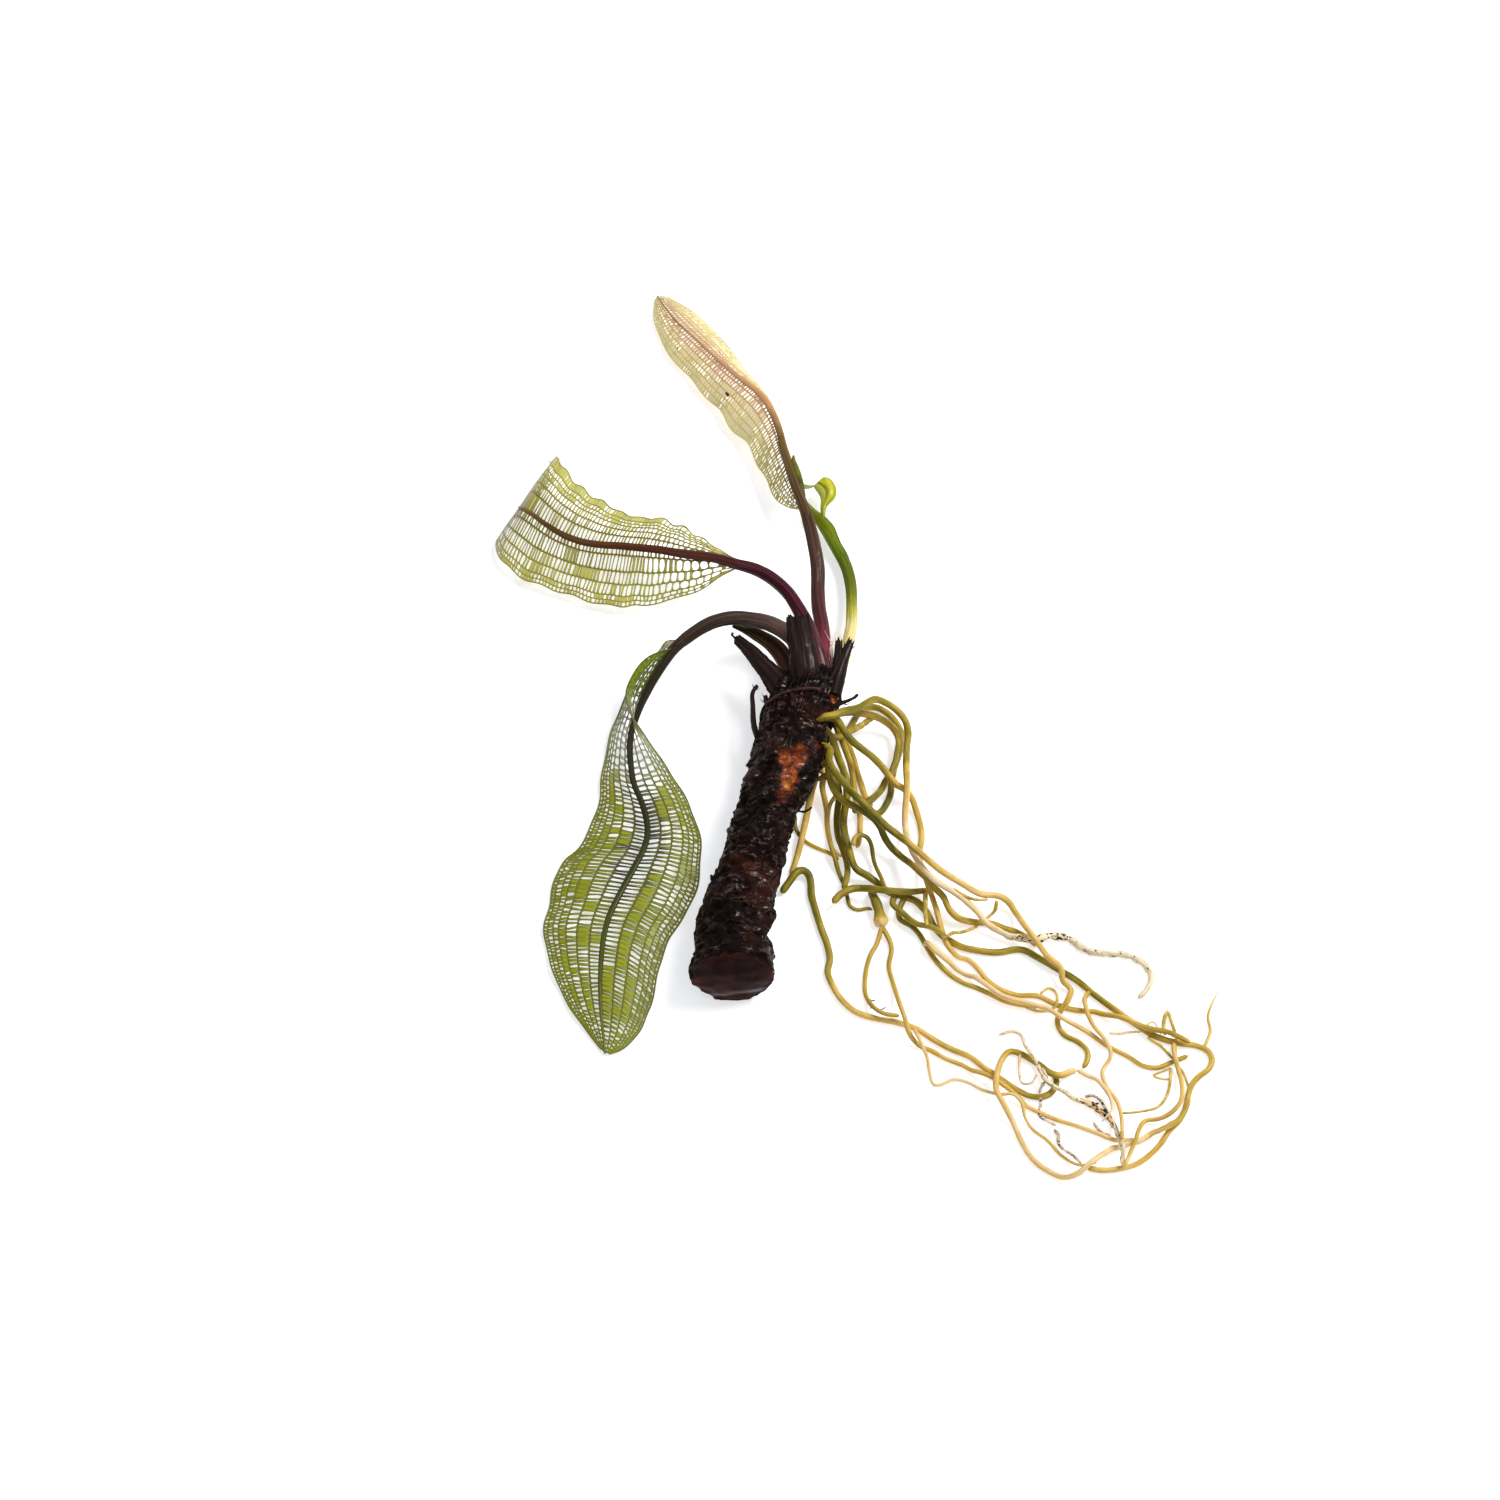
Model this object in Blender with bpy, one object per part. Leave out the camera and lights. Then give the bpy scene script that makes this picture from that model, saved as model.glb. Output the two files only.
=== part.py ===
"""Madagascar lace plant, lifted out of the water and lying on a flat surface.

A thick black rhizome lies along +Y. Its crown carries torn stubs of old leaf stalks, three lattice leaves on
long stalks and one young rolled leaf, and a bundle of long roots leaves its right side. Lengths are in
millimetres, and the meshes are made in metres. Z = 0 is the surface that the plant lies on.
"""

import math

import bmesh
import bpy
import numpy as np
from mathutils import Vector, noise

MM = 0.001
GAP = 0.3

# The rhizome: the lean of its cut face, its rounded crown, its sag into the surface, and its bark
CUT_LEAN = 1.8
CROWN_ROUNDING = 1.7
RHIZOME_SIDES = 18
RHIZOME_PITCH = 2.6
RHIZOME_SAG = 0.8
BARK_LUMP = 0.8
LUMP_LENGTH = 4.5
SCAR_PITCH = 5.2
SCAR_DEPTH = 0.45

# Leaves, stalks and roots: slopes are rise over run, and a tolerance is how far a facet may cut a bend
BLADE_THICKNESS = 0.9
VEIN_HEIGHT = 0.35
MIDRIB_HEIGHT = 1.1
LANES = 5
BLADE_ARCH = 0.06
STALK_TOLERANCE = 0.22
ROOT_SIDES = 5
ROOT_SLOPE = 0.45
ROOT_DROP = 0.6
ROOT_TOLERANCE = 0.2
FINE_STEP = 0.8

# Waypoints are places as they look from this angle above the surface, on a level plane at a named height. Their x
# is counted from a line beside the rhizome's middle, which seen() and lie_down() move to the middle.
VIEW_ANGLE = math.radians(60)
LOOK_BACK = 1 / math.tan(VIEW_ANGLE)
MIDDLE_X = -2.8
CROWN_PLANE = 9.0
STALK_PLANE = 6.0
LEAF_PLANE = 8.0
LOW_LEAF_PLANE = 2.0
ROOT_PLANE = 1.0

COLOURS = {
    "bark": ((35, 22, 20), 0.35),
    "old_stalk": ((45, 30, 26), 0.5),
    "stalk_crimson": ((95, 35, 50), 0.35),
    "stalk_brown": ((70, 50, 42), 0.4),
    "stalk_green": ((110, 135, 35), 0.35),
    "leaf_green": ((120, 140, 40), 0.4),
    "leaf_yellow": ((185, 185, 100), 0.4),
    "leaf_tan": ((205, 175, 125), 0.45),
    "leaf_young": ((165, 180, 30), 0.35),
    "root_olive": ((150, 140, 35), 0.4),
    "root_gold": ((205, 170, 75), 0.4),
    "root_pale": ((232, 205, 160), 0.45),
    "root_white": ((238, 228, 205), 0.5),
}

# The rhizome's left edge, right edge and top at each y, from the cut to just before the crown's end
RHIZOME_STATIONS = [
    (-31.0, -16.4, 1.0, 17.4), (-27.0, -15.9, 0.9, 17.0), (-22.0, -15.5, -0.6, 15.6),
    (-17.0, -14.8, 0.8, 15.6), (-12.0, -13.2, 1.3, 15.2), (-6.0, -11.5, 2.6, 15.0), (0.0, -9.6, 3.8, 14.8),
    (6.0, -8.1, 5.0, 14.8), (11.0, -7.0, 7.6, 15.0), (15.0, -5.9, 9.8, 15.2), (20.0, -4.0, 11.6, 15.6),
    (26.0, -3.2, 12.4, 15.8), (31.0, -1.6, 14.0, 15.8), (35.0, 0.6, 14.8, 15.6), (38.0, 2.6, 14.6, 14.6),
]

STALK_LOWER = [
    (6.0, 40.0, 8.5), (5.0, 47.5, 9.0), (0.5, 51.0, 10.5), (-4.0, 52.3, 13.0), (-8.0, 52.5, 14.8),
    (-12.0, 51.4, 15.3), (-15.0, 49.6, 14.6), (-17.0, 48.0, 13.7), (-19.4, 45.9, 12.4),
]
STALK_OLD = [
    (5.0, 35.0, 5.4), (3.6, 41.5, 5.2), (1.4, 45.4, 5.6), (-1.6, 48.0, 6.6), (-5.0, 49.9, 8.0), (-7.8, 50.8, 9.4),
]
STALK_LEFT = [
    (10.6, 33.5, 11.0), (10.4, 41.0, 11.6), (9.3, 45.5, 12.2), (7.9, 50.6, 12.6), (5.8, 55.2, 12.8),
    (3.7, 58.9, 12.8), (0.8, 62.1, 12.6), (-3.0, 64.7, 12.2), (-7.1, 66.1, 11.7),
]
STALK_UPPER = [
    (11.4, 34.0, 8.0), (11.6, 41.0, 8.0), (11.2, 46.0, 7.8), (11.0, 52.0, 7.4), (10.4, 57.0, 7.2),
    (10.2, 62.0, 7.2), (10.2, 67.0, 7.6), (9.6, 72.0, 8.2), (8.7, 77.0, 8.8), (8.2, 79.0, 9.0),
    (7.8, 80.8, 9.2),
]
STALK_YOUNG = [
    (13.2, 34.0, 6.6), (15.2, 43.0, 6.2), (16.4, 48.0, 5.4), (17.3, 53.0, 4.4), (17.5, 58.0, 3.6),
    (17.3, 63.0, 3.0), (16.5, 67.5, 2.6), (15.4, 70.5, 2.5),
]
YOUNG_LEAF = [
    (15.0, 71.6, 2.5), (13.4, 74.8, 2.6), (11.9, 77.6, 2.6), (9.7, 80.6, 2.4), (7.9, 83.4, 2.2),
    (6.8, 86.0, 2.2), (7.3, 88.0, 2.3), (9.6, 88.8, 2.6), (12.0, 88.6, 3.0), (13.0, 86.4, 3.6),
    (12.4, 83.6, 4.6), (11.8, 81.6, 5.6),
]

# Torn stubs of stalks that broke off at the crown
STUB_LEFT = [(4.0, 33.0, 10.0), (1.0, 37.6, 11.0), (-2.2, 41.8, 11.6), (-5.0, 45.4, 12.0), (-6.9, 47.3, 12.2)]
STUB_CENTRE = [(7.6, 34.0, 11.5), (7.2, 40.0, 14.6), (6.6, 46.0, 16.0), (6.0, 50.6, 16.6), (5.9, 52.4, 16.7)]
STUB_RIGHT = [(12.6, 34.0, 10.5), (14.0, 38.6, 11.6), (15.6, 43.4, 12.2), (16.8, 46.4, 12.4)]
STUB_RIGHT_PRONG = [(13.4, 37.0, 11.2), (14.2, 42.0, 12.0), (14.4, 46.6, 12.3)]
SPUR_LEFT = [(-2.0, 22.0, 9.5), (-3.3, 26.0, 9.6), (-3.6, 31.0, 9.8), (-3.5, 34.8, 10.0), (-2.7, 36.0, 10.0)]
SPUR_NUB = [(1.0, 30.0, 9.5), (-0.6, 31.8, 9.8), (-1.0, 33.6, 10.0)]
SPUR_RIGHT = [(12.4, 30.6, 10.0), (14.6, 31.7, 10.2), (16.5, 32.5, 10.2)]

# Each blade: left margin, midrib and right margin, from the stalk to the tip
LOWER_BLADE = {
    "left": [
        (-20.4, 50.9, 12.2), (-21.9, 50.2, 11.4), (-24.0, 47.8, 10.0), (-27.3, 45.3, 7.8),
        (-29.3, 41.8, 5.6), (-30.3, 38.0, 3.8), (-31.4, 34.8, 2.6), (-33.0, 30.3, 1.8), (-34.0, 25.4, 1.3),
        (-34.8, 21.3, 1.0), (-35.2, 17.0, 0.8), (-35.5, 13.0, 0.7), (-36.3, 8.9, 0.7), (-37.8, 4.8, 0.7),
        (-39.8, 0.8, 0.7), (-42.3, -1.6, 0.7), (-44.3, -6.0, 0.7), (-45.3, -12.0, 0.8), (-46.3, -17.6, 0.9),
        (-45.6, -22.6, 1.0), (-43.7, -29.0, 1.0), (-40.7, -35.6, 0.9), (-36.9, -41.4, 0.7),
        (-34.2, -45.2, 0.6),
    ],
    "middle": [
        (-20.1, 49.4, 12.0), (-21.5, 47.0, 10.9), (-23.2, 43.9, 9.4), (-24.9, 40.8, 7.8),
        (-26.5, 37.4, 6.2), (-27.8, 34.0, 5.0), (-28.8, 30.8, 4.1), (-29.3, 28.0, 3.5), (-29.4, 25.0, 3.2),
        (-29.0, 20.5, 3.0), (-28.3, 16.3, 2.8), (-26.8, 12.3, 2.7), (-25.7, 8.2, 2.6), (-25.4, 4.4, 2.6),
        (-26.2, 0.8, 2.6), (-27.7, -2.6, 2.6), (-29.4, -6.3, 2.6), (-31.4, -10.7, 2.5), (-33.2, -15.3, 2.4),
        (-34.1, -20.0, 2.3), (-34.5, -25.0, 2.1), (-34.6, -30.3, 1.9), (-34.4, -35.6, 1.7),
        (-33.9, -40.8, 1.4), (-33.4, -46.0, 0.8),
    ],
    "right": [
        (-19.7, 48.7, 11.7), (-21.1, 46.1, 10.2), (-22.7, 43.1, 8.4), (-24.3, 40.0, 6.6),
        (-25.8, 36.8, 4.8), (-27.0, 33.8, 3.4), (-27.3, 30.8, 2.4), (-26.2, 27.8, 1.6), (-24.2, 24.7, 1.3),
        (-22.2, 21.3, 1.0), (-20.2, 17.8, 0.9), (-18.4, 14.4, 0.8), (-16.8, 11.0, 0.7), (-15.5, 7.5, 0.7),
        (-14.5, 2.4, 0.7), (-14.5, -2.6, 0.7), (-15.2, -8.0, 0.7), (-17.0, -13.4, 0.8), (-20.4, -19.3, 0.9),
        (-22.4, -25.0, 1.0), (-23.5, -31.0, 1.0), (-25.0, -37.4, 0.9), (-27.1, -42.0, 0.8),
        (-30.2, -45.2, 0.7), (-32.6, -46.2, 0.6),
    ],
}
LEFT_BLADE = {
    "left": [
        (-7.4, 65.4, 11.0), (-10.0, 64.0, 9.4), (-13.0, 61.6, 7.4), (-17.0, 59.5, 5.4), (-21.5, 58.1, 4.2),
        (-27.0, 56.6, 3.4), (-31.0, 56.4, 3.0), (-35.0, 57.0, 2.8), (-40.0, 58.3, 2.6), (-45.0, 60.4, 2.4),
        (-50.5, 62.4, 2.4), (-55.0, 65.4, 2.4), (-58.2, 69.4, 2.4), (-59.2, 73.2, 2.0), (-57.6, 75.4, 0.7),
    ],
    "middle": [
        (-7.6, 67.0, 11.6), (-12.0, 68.3, 11.0), (-16.0, 69.0, 10.4), (-20.0, 69.7, 9.8),
        (-24.0, 70.5, 9.2), (-28.0, 71.0, 8.7), (-32.0, 71.5, 8.3), (-36.0, 71.8, 8.0), (-40.0, 72.5, 7.8),
        (-44.0, 74.2, 7.6), (-48.0, 77.0, 7.2), (-51.2, 79.8, 6.4), (-53.6, 81.4, 4.8), (-54.0, 81.8, 2.8),
        (-52.0, 82.4, 0.7),
    ],
    "right": [
        (-7.8, 68.3, 11.2), (-10.5, 70.2, 10.6), (-15.0, 73.6, 9.6), (-19.5, 76.6, 8.8), (-24.5, 78.5, 8.0),
        (-29.0, 78.8, 7.4), (-33.0, 80.8, 6.8), (-36.5, 83.2, 6.4), (-40.0, 85.8, 6.0), (-43.0, 89.2, 5.8),
        (-45.2, 92.6, 5.6), (-46.4, 94.6, 4.8), (-47.8, 92.0, 3.4), (-48.0, 89.6, 1.8), (-46.6, 88.4, 0.7),
    ],
}
UPPER_BLADE = {
    "left": [
        (6.4, 81.9, 8.6), (4.4, 82.3, 7.2), (2.4, 83.8, 6.0), (0.6, 86.6, 5.1), (-1.2, 91.0, 4.4),
        (-3.2, 96.0, 3.8), (-6.0, 101.0, 3.2), (-9.0, 105.0, 2.7), (-11.6, 109.2, 2.3), (-15.5, 114.5, 2.0),
        (-19.0, 119.0, 1.7), (-22.0, 123.5, 1.4), (-24.2, 128.0, 1.2), (-25.5, 133.0, 1.0),
        (-25.5, 138.6, 0.7),
    ],
    "middle": [
        (7.3, 82.6, 9.3), (6.1, 86.2, 9.4), (5.0, 90.0, 9.4), (4.0, 94.0, 9.2), (3.0, 98.0, 9.0),
        (2.0, 103.0, 8.6), (0.5, 107.5, 8.2), (-1.4, 111.4, 7.8), (-4.6, 114.8, 7.3), (-8.0, 118.0, 6.8),
        (-12.0, 122.5, 6.0), (-16.0, 127.0, 5.0), (-20.0, 131.5, 3.8), (-23.0, 136.0, 2.4),
        (-25.0, 140.0, 1.0),
    ],
    "right": [
        (7.9, 82.8, 8.8), (7.2, 86.4, 7.8), (6.3, 90.5, 7.0), (4.9, 94.8, 6.2), (3.8, 98.9, 5.4),
        (2.8, 103.1, 4.6), (1.6, 107.3, 3.8), (0.0, 111.5, 3.0), (-2.8, 115.6, 2.4), (-5.2, 119.0, 2.0),
        (-7.5, 123.0, 1.7), (-10.3, 127.2, 1.5), (-13.8, 131.8, 1.3), (-18.2, 136.4, 1.0),
        (-22.6, 139.9, 0.8),
    ],
}

# The roots, in the order in which they lie on each other: name, first and last radius, height at the start,
# colour, whether it springs from the rhizome, and its route as read on the root plane
ROOTS = [
    ("root_01_thin_left", 0.6, 0.5, 3.0, "root_olive", True, [
        (2.6, 10.8), (5.0, 9.6), (5.1, 7.2), (6.0, 4.8), (7.6, 3.0), (10.0, 1.6), (12.4, 0.4),
        (14.2, -1.0)]),
    ("root_02_pale_left", 0.95, 0.8, 5.0, "root_gold", True, [
        (5.0, 21.0), (9.3, 19.3), (8.7, 15.6), (8.1, 12.2), (7.4, 8.4), (6.6, 4.6), (5.9, 1.2),
        (5.1, -1.9)]),
    ("root_03_inner_strand", 0.85, 0.45, 4.0, "root_gold", True, [
        (7.5, 20.5), (11.2, 20.0), (10.8, 16.6), (11.3, 13.6), (11.8, 10.6), (11.8, 7.2), (12.2, 4.2),
        (12.7, 1.8), (13.4, -0.8), (13.9, -3.2), (14.6, -5.4), (15.4, -7.4), (15.8, -9.6), (16.4, -12.0),
        (18.0, -12.8), (20.0, -12.4), (21.0, -12.7)]),
    ("root_04_short_run", 0.9, 0.8, 3.0, "root_gold", True, [
        (11.5, 28.8), (15.6, 27.6), (17.2, 24.0), (18.1, 20.4), (19.0, 16.8), (20.0, 13.6), (21.2, 11.4)]),
    ("root_05_pale_run", 0.9, 0.75, 3.4, "root_gold", True, [
        (10.0, 32.5), (13.2, 31.8), (14.6, 28.8), (15.8, 25.2), (16.8, 21.6), (17.3, 18.2), (17.5, 15.2),
        (18.2, 12.0), (18.7, 9.0), (18.7, 6.2), (18.4, 3.8), (17.9, 1.8)]),
    ("root_06_dark_olive", 0.9, 0.8, 5.0, "root_olive", True, [
        (9.5, 19.4), (13.4, 18.2), (14.3, 15.0), (14.0, 11.2), (13.8, 7.4), (14.1, 4.2), (14.9, 1.6),
        (15.8, -1.4), (15.9, -4.2), (15.3, -6.4)]),
    ("root_07_knotted", 0.9, 1.75, 1.6, "root_olive", False, [
        (18.0, -4.9), (19.5, -7.0), (21.2, -9.6), (22.2, -12.6), (22.8, -16.4)]),
    ("root_08_second_loop", 0.9, 0.85, 5.4, "root_olive", True, [
        (11.0, 28.5), (15.4, 28.8), (16.8, 30.8), (18.2, 33.4), (19.8, 35.3), (22.0, 35.7), (24.6, 34.3),
        (26.4, 32.1), (27.6, 29.4), (27.6, 26.4), (26.8, 23.4), (25.9, 20.5), (25.3, 17.4), (25.1, 14.6),
        (24.2, 12.3), (22.9, 10.7), (21.6, 10.3)]),
    ("root_09_main_olive", 1.0, 0.7, 6.0, "root_olive", True, [
        (8.0, 31.5), (10.7, 30.8), (12.3, 29.0), (13.4, 26.4), (14.2, 23.6), (15.2, 20.4), (15.8, 17.4),
        (15.9, 14.6), (15.6, 12.0), (15.2, 9.0), (15.3, 5.6), (16.0, 2.4), (16.7, -0.6), (17.6, -3.0),
        (20.0, -4.7), (22.2, -6.5), (24.3, -8.5), (27.0, -9.4), (30.0, -10.7), (32.0, -13.2), (33.5, -16.5),
        (35.5, -19.0), (38.5, -21.0), (42.0, -22.0), (46.0, -22.5), (51.5, -21.9), (54.5, -23.6),
        (58.0, -26.0), (62.0, -28.7), (66.0, -32.4), (70.0, -35.8), (74.0, -39.0), (78.0, -41.7),
        (82.0, -43.0), (86.0, -43.7), (88.2, -45.0), (88.8, -47.0), (88.0, -48.8), (86.2, -50.2),
        (84.6, -52.0), (83.6, -54.5), (83.0, -57.0), (81.6, -60.0), (79.5, -62.3), (77.5, -65.3),
        (75.0, -67.9), (72.0, -69.9), (69.0, -70.7), (65.5, -71.0), (62.5, -70.5)]),
    ("root_10_hook", 0.6, 0.5, 0.9, "root_olive", False, [
        (18.9, 4.3), (20.0, 4.4), (20.8, 2.8), (21.1, 0.6), (21.4, -1.4), (22.0, -3.4), (22.8, -5.2)]),
    ("root_11_cross_run", 1.0, 0.8, 1.6, "root_olive", False, [
        (12.7, -10.9), (14.4, -8.8), (16.4, -7.7), (20.0, -7.6), (24.5, -8.1), (29.0, -8.4), (32.4, -8.1)]),
    ("root_12_hooked_left", 1.2, 0.85, 1.2, "root_gold", False, [
        (2.2, -8.8), (4.0, -5.9), (5.2, -4.0), (6.5, -3.3), (7.7, -4.1), (8.3, -6.2), (8.4, -9.0),
        (9.2, -12.6), (10.4, -17.0), (11.7, -21.2), (12.1, -24.0), (11.6, -27.0), (12.6, -30.0),
        (14.6, -33.5), (17.0, -35.8), (21.0, -37.4), (25.5, -38.3), (29.5, -39.8), (33.0, -42.3),
        (36.5, -44.4), (40.0, -46.0), (43.0, -48.6), (46.0, -50.9), (49.0, -53.2), (52.5, -54.9),
        (55.3, -54.6), (57.0, -52.8), (57.2, -50.8)]),
    ("root_13_inner_loop", 1.0, 0.9, 9.6, "root_olive", True, [
        (9.0, 32.5), (12.0, 32.9), (14.5, 34.0), (17.0, 34.4), (19.5, 34.0), (22.0, 33.3), (24.3, 32.0),
        (26.2, 30.0), (27.0, 27.5), (26.7, 24.4), (25.9, 21.3), (24.5, 18.4), (22.6, 15.7), (20.9, 14.0),
        (19.7, 13.2)]),
    ("root_14_long_diagonal", 1.0, 0.65, 7.2, "root_gold", True, [
        (10.5, 33.5), (13.8, 32.6), (15.2, 30.2), (16.6, 28.0), (18.6, 26.0), (21.0, 23.9), (23.0, 21.6),
        (24.6, 19.2), (26.2, 17.0), (28.2, 15.6), (29.4, 13.8), (30.4, 10.6), (31.2, 7.0), (31.4, 4.0),
        (31.0, 1.6), (31.0, -1.4), (31.8, -5.0), (32.9, -8.6), (34.0, -12.5), (34.8, -16.4), (36.0, -20.5),
        (38.0, -23.0), (40.5, -24.3), (42.5, -26.5), (44.0, -28.8), (46.3, -30.7), (50.0, -32.2),
        (54.3, -32.4), (57.5, -34.2), (62.0, -35.7), (67.0, -36.1), (71.0, -37.2)]),
    ("root_15_second_green", 0.95, 0.8, 7.0, "root_olive", True, [
        (8.5, 22.4), (11.8, 21.8), (12.2, 19.4), (12.7, 17.0), (13.7, 14.8), (15.4, 13.0), (17.6, 11.6),
        (19.6, 10.4), (21.4, 8.8), (22.7, 6.8), (23.5, 4.6), (24.8, 2.2), (26.8, 0.0), (29.3, -2.2),
        (31.6, -4.8), (33.5, -7.3), (35.4, -9.5), (36.5, -12.3), (38.5, -14.6), (41.5, -15.5),
        (45.0, -15.8), (48.0, -17.0), (51.0, -18.2)]),
    ("root_16_outer_loop", 0.95, 0.7, 12.0, "root_gold", True, [
        (9.5, 32.8), (13.0, 33.6), (16.0, 34.8), (18.4, 35.4), (20.2, 36.6), (21.9, 37.5), (24.2, 36.6),
        (26.6, 34.7), (28.4, 32.0), (28.9, 29.0), (28.6, 26.0), (28.4, 22.6), (28.4, 18.0), (28.2, 13.2),
        (27.9, 8.6), (28.2, 5.0), (29.0, 1.6), (30.2, -1.2), (31.8, -3.6), (34.0, -5.8), (37.0, -8.0),
        (40.0, -10.5), (42.3, -13.0), (44.0, -15.5), (47.0, -17.5), (50.0, -18.8), (53.0, -19.6),
        (57.0, -18.7), (61.0, -19.4), (65.0, -22.3), (69.0, -22.8), (73.5, -23.4), (76.8, -26.0),
        (77.5, -28.3), (76.2, -31.2), (74.6, -33.0)]),
    ("root_17_green_diagonal", 1.0, 0.7, 9.0, "root_olive", True, [
        (8.5, 27.0), (12.4, 25.6), (12.1, 23.0), (13.0, 20.6), (14.6, 18.2), (16.4, 15.7), (18.5, 13.3),
        (21.2, 10.2), (24.0, 7.0), (28.0, 3.4), (31.0, 0.3), (34.2, -3.5), (39.0, -7.0), (43.0, -9.6),
        (47.0, -10.2), (49.5, -12.3), (51.8, -16.0), (54.0, -19.5), (56.3, -23.2), (59.0, -26.0),
        (59.3, -29.0), (61.0, -30.9), (60.0, -33.5), (58.3, -36.3), (58.0, -39.0), (59.3, -41.3),
        (62.0, -42.8), (63.8, -45.0), (63.5, -47.5)]),
    ("root_18_thin_left_run", 0.5, 0.4, 0.6, "root_gold", False, [
        (21.8, -18.9), (20.6, -21.8), (19.8, -25.0), (19.2, -29.0), (19.2, -32.0), (20.2, -34.4),
        (22.4, -36.2), (26.0, -36.9)]),
    ("root_19_straight_gold", 0.65, 0.55, 0.7, "root_gold", False, [
        (24.6, -18.9), (24.7, -22.0), (24.1, -25.5), (24.9, -29.5), (26.0, -33.8), (27.1, -37.5),
        (28.0, -41.0), (29.8, -43.5), (33.0, -45.0), (37.0, -46.5), (40.5, -48.5), (44.5, -50.6),
        (47.3, -52.8), (49.8, -55.0), (53.0, -58.0), (57.0, -60.0), (61.0, -61.4), (65.0, -63.0),
        (68.5, -64.5), (72.5, -64.4)]),
    ("root_20_wandering_pale", 0.45, 0.4, 0.6, "root_pale", False, [
        (28.8, -39.5), (30.2, -42.8), (31.5, -46.5), (32.0, -50.0), (32.8, -52.5), (34.5, -52.2),
        (36.5, -51.2), (39.5, -51.8), (42.5, -53.5), (45.5, -54.2), (48.3, -54.1), (50.0, -56.0),
        (50.7, -59.5), (52.3, -62.3), (55.0, -64.5), (57.5, -67.7), (61.0, -69.8), (64.5, -69.2)]),
    ("root_21_side_run", 0.75, 0.6, 1.0, "root_olive", False, [
        (26.2, -13.3), (26.6, -15.0), (28.4, -16.0), (30.1, -17.8), (31.7, -20.8), (33.3, -23.8),
        (35.2, -26.3), (37.6, -28.5), (40.0, -29.9), (44.0, -30.9), (48.0, -32.9), (52.0, -34.0)]),
    ("root_22_short_side_run", 0.8, 0.7, 1.0, "root_olive", False, [
        (24.8, -11.4), (26.7, -12.9), (28.5, -14.9), (30.2, -16.0), (32.2, -16.3), (35.8, -18.4)]),
    ("root_23_peach_run", 0.7, 0.6, 1.0, "root_pale", False, [
        (31.5, -18.0), (35.5, -22.0), (39.5, -26.3), (43.5, -29.6), (47.0, -32.3), (51.0, -33.6),
        (56.0, -35.3), (59.8, -37.8), (63.5, -40.2), (68.0, -43.8), (72.3, -46.3), (74.5, -48.0),
        (77.5, -48.6), (80.5, -47.4), (84.0, -45.9)]),
    ("root_24_end_loop", 0.9, 0.75, 1.0, "root_pale", False, [
        (61.4, -48.9), (60.0, -49.3), (58.0, -50.0), (56.0, -49.5), (54.0, -47.8), (52.0, -46.4),
        (50.0, -45.2), (48.0, -44.8), (46.6, -46.2), (45.6, -48.4), (45.0, -50.5), (45.0, -53.0),
        (46.5, -56.5), (48.5, -61.0), (50.0, -65.0), (52.0, -68.6), (55.0, -71.2), (58.0, -72.4),
        (60.5, -71.5), (63.0, -69.0), (66.5, -66.8), (70.0, -65.3), (73.5, -64.3), (76.0, -62.8),
        (79.0, -61.2), (81.0, -60.0), (82.5, -57.8), (83.5, -55.0)]),
    ("root_25_rotted_white", 0.8, 0.6, 0.8, "root_white", False, [
        (46.0, -41.0), (49.5, -40.3), (50.7, -41.3), (51.0, -43.0), (52.0, -44.8), (53.3, -47.0),
        (54.5, -50.0), (56.0, -51.0), (58.5, -52.5), (60.5, -54.3), (62.5, -55.3), (64.0, -56.5),
        (65.5, -57.8), (67.5, -59.7), (68.5, -61.5), (69.0, -63.5), (69.8, -66.5), (69.5, -69.7)]),
    ("root_26_down_run", 0.6, 0.5, 0.8, "root_pale", False, [
        (63.5, -31.0), (63.7, -35.0), (65.3, -39.3), (67.8, -43.0), (68.4, -46.0), (66.6, -49.5),
        (67.3, -52.7), (69.3, -56.0), (69.8, -60.0), (69.4, -64.0)]),
    ("root_27_peach_branch", 0.6, 0.5, 0.8, "root_pale", False, [
        (63.8, -49.4), (65.5, -51.3), (67.0, -53.3), (68.0, -55.5), (68.2, -57.3), (67.0, -59.0),
        (65.8, -60.5)]),
    ("root_28_right_run", 0.65, 0.5, 0.8, "root_pale", False, [
        (81.0, -44.6), (81.6, -48.0), (82.2, -52.0), (81.5, -56.0), (79.5, -58.6), (76.5, -60.1),
        (74.6, -60.1), (73.2, -62.0)]),
    ("root_29_thin_tip", 0.45, 0.25, 0.6, "root_white", False, [
        (88.0, -42.6), (88.9, -40.4), (88.5, -37.5), (89.7, -33.8), (91.8, -30.3)]),
]


def clear_scene():
    for thing in list(bpy.data.objects):
        bpy.data.objects.remove(thing, do_unlink=True)


def linear(channel):
    """An sRGB channel from 0 to 255 as a linear value."""
    channel /= 255
    return channel / 12.92 if channel <= 0.04045 else ((channel + 0.055) / 1.055) ** 2.4


def material(name):
    colour, roughness = COLOURS[name]
    made = bpy.data.materials.get(name) or bpy.data.materials.new(name)
    made.use_nodes = True
    shader = made.node_tree.nodes["Principled BSDF"]
    shader.inputs["Base Color"].default_value = (*(linear(c) for c in colour), 1)
    shader.inputs["Roughness"].default_value = roughness
    shader.inputs["Metallic"].default_value = 0
    return made


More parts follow.
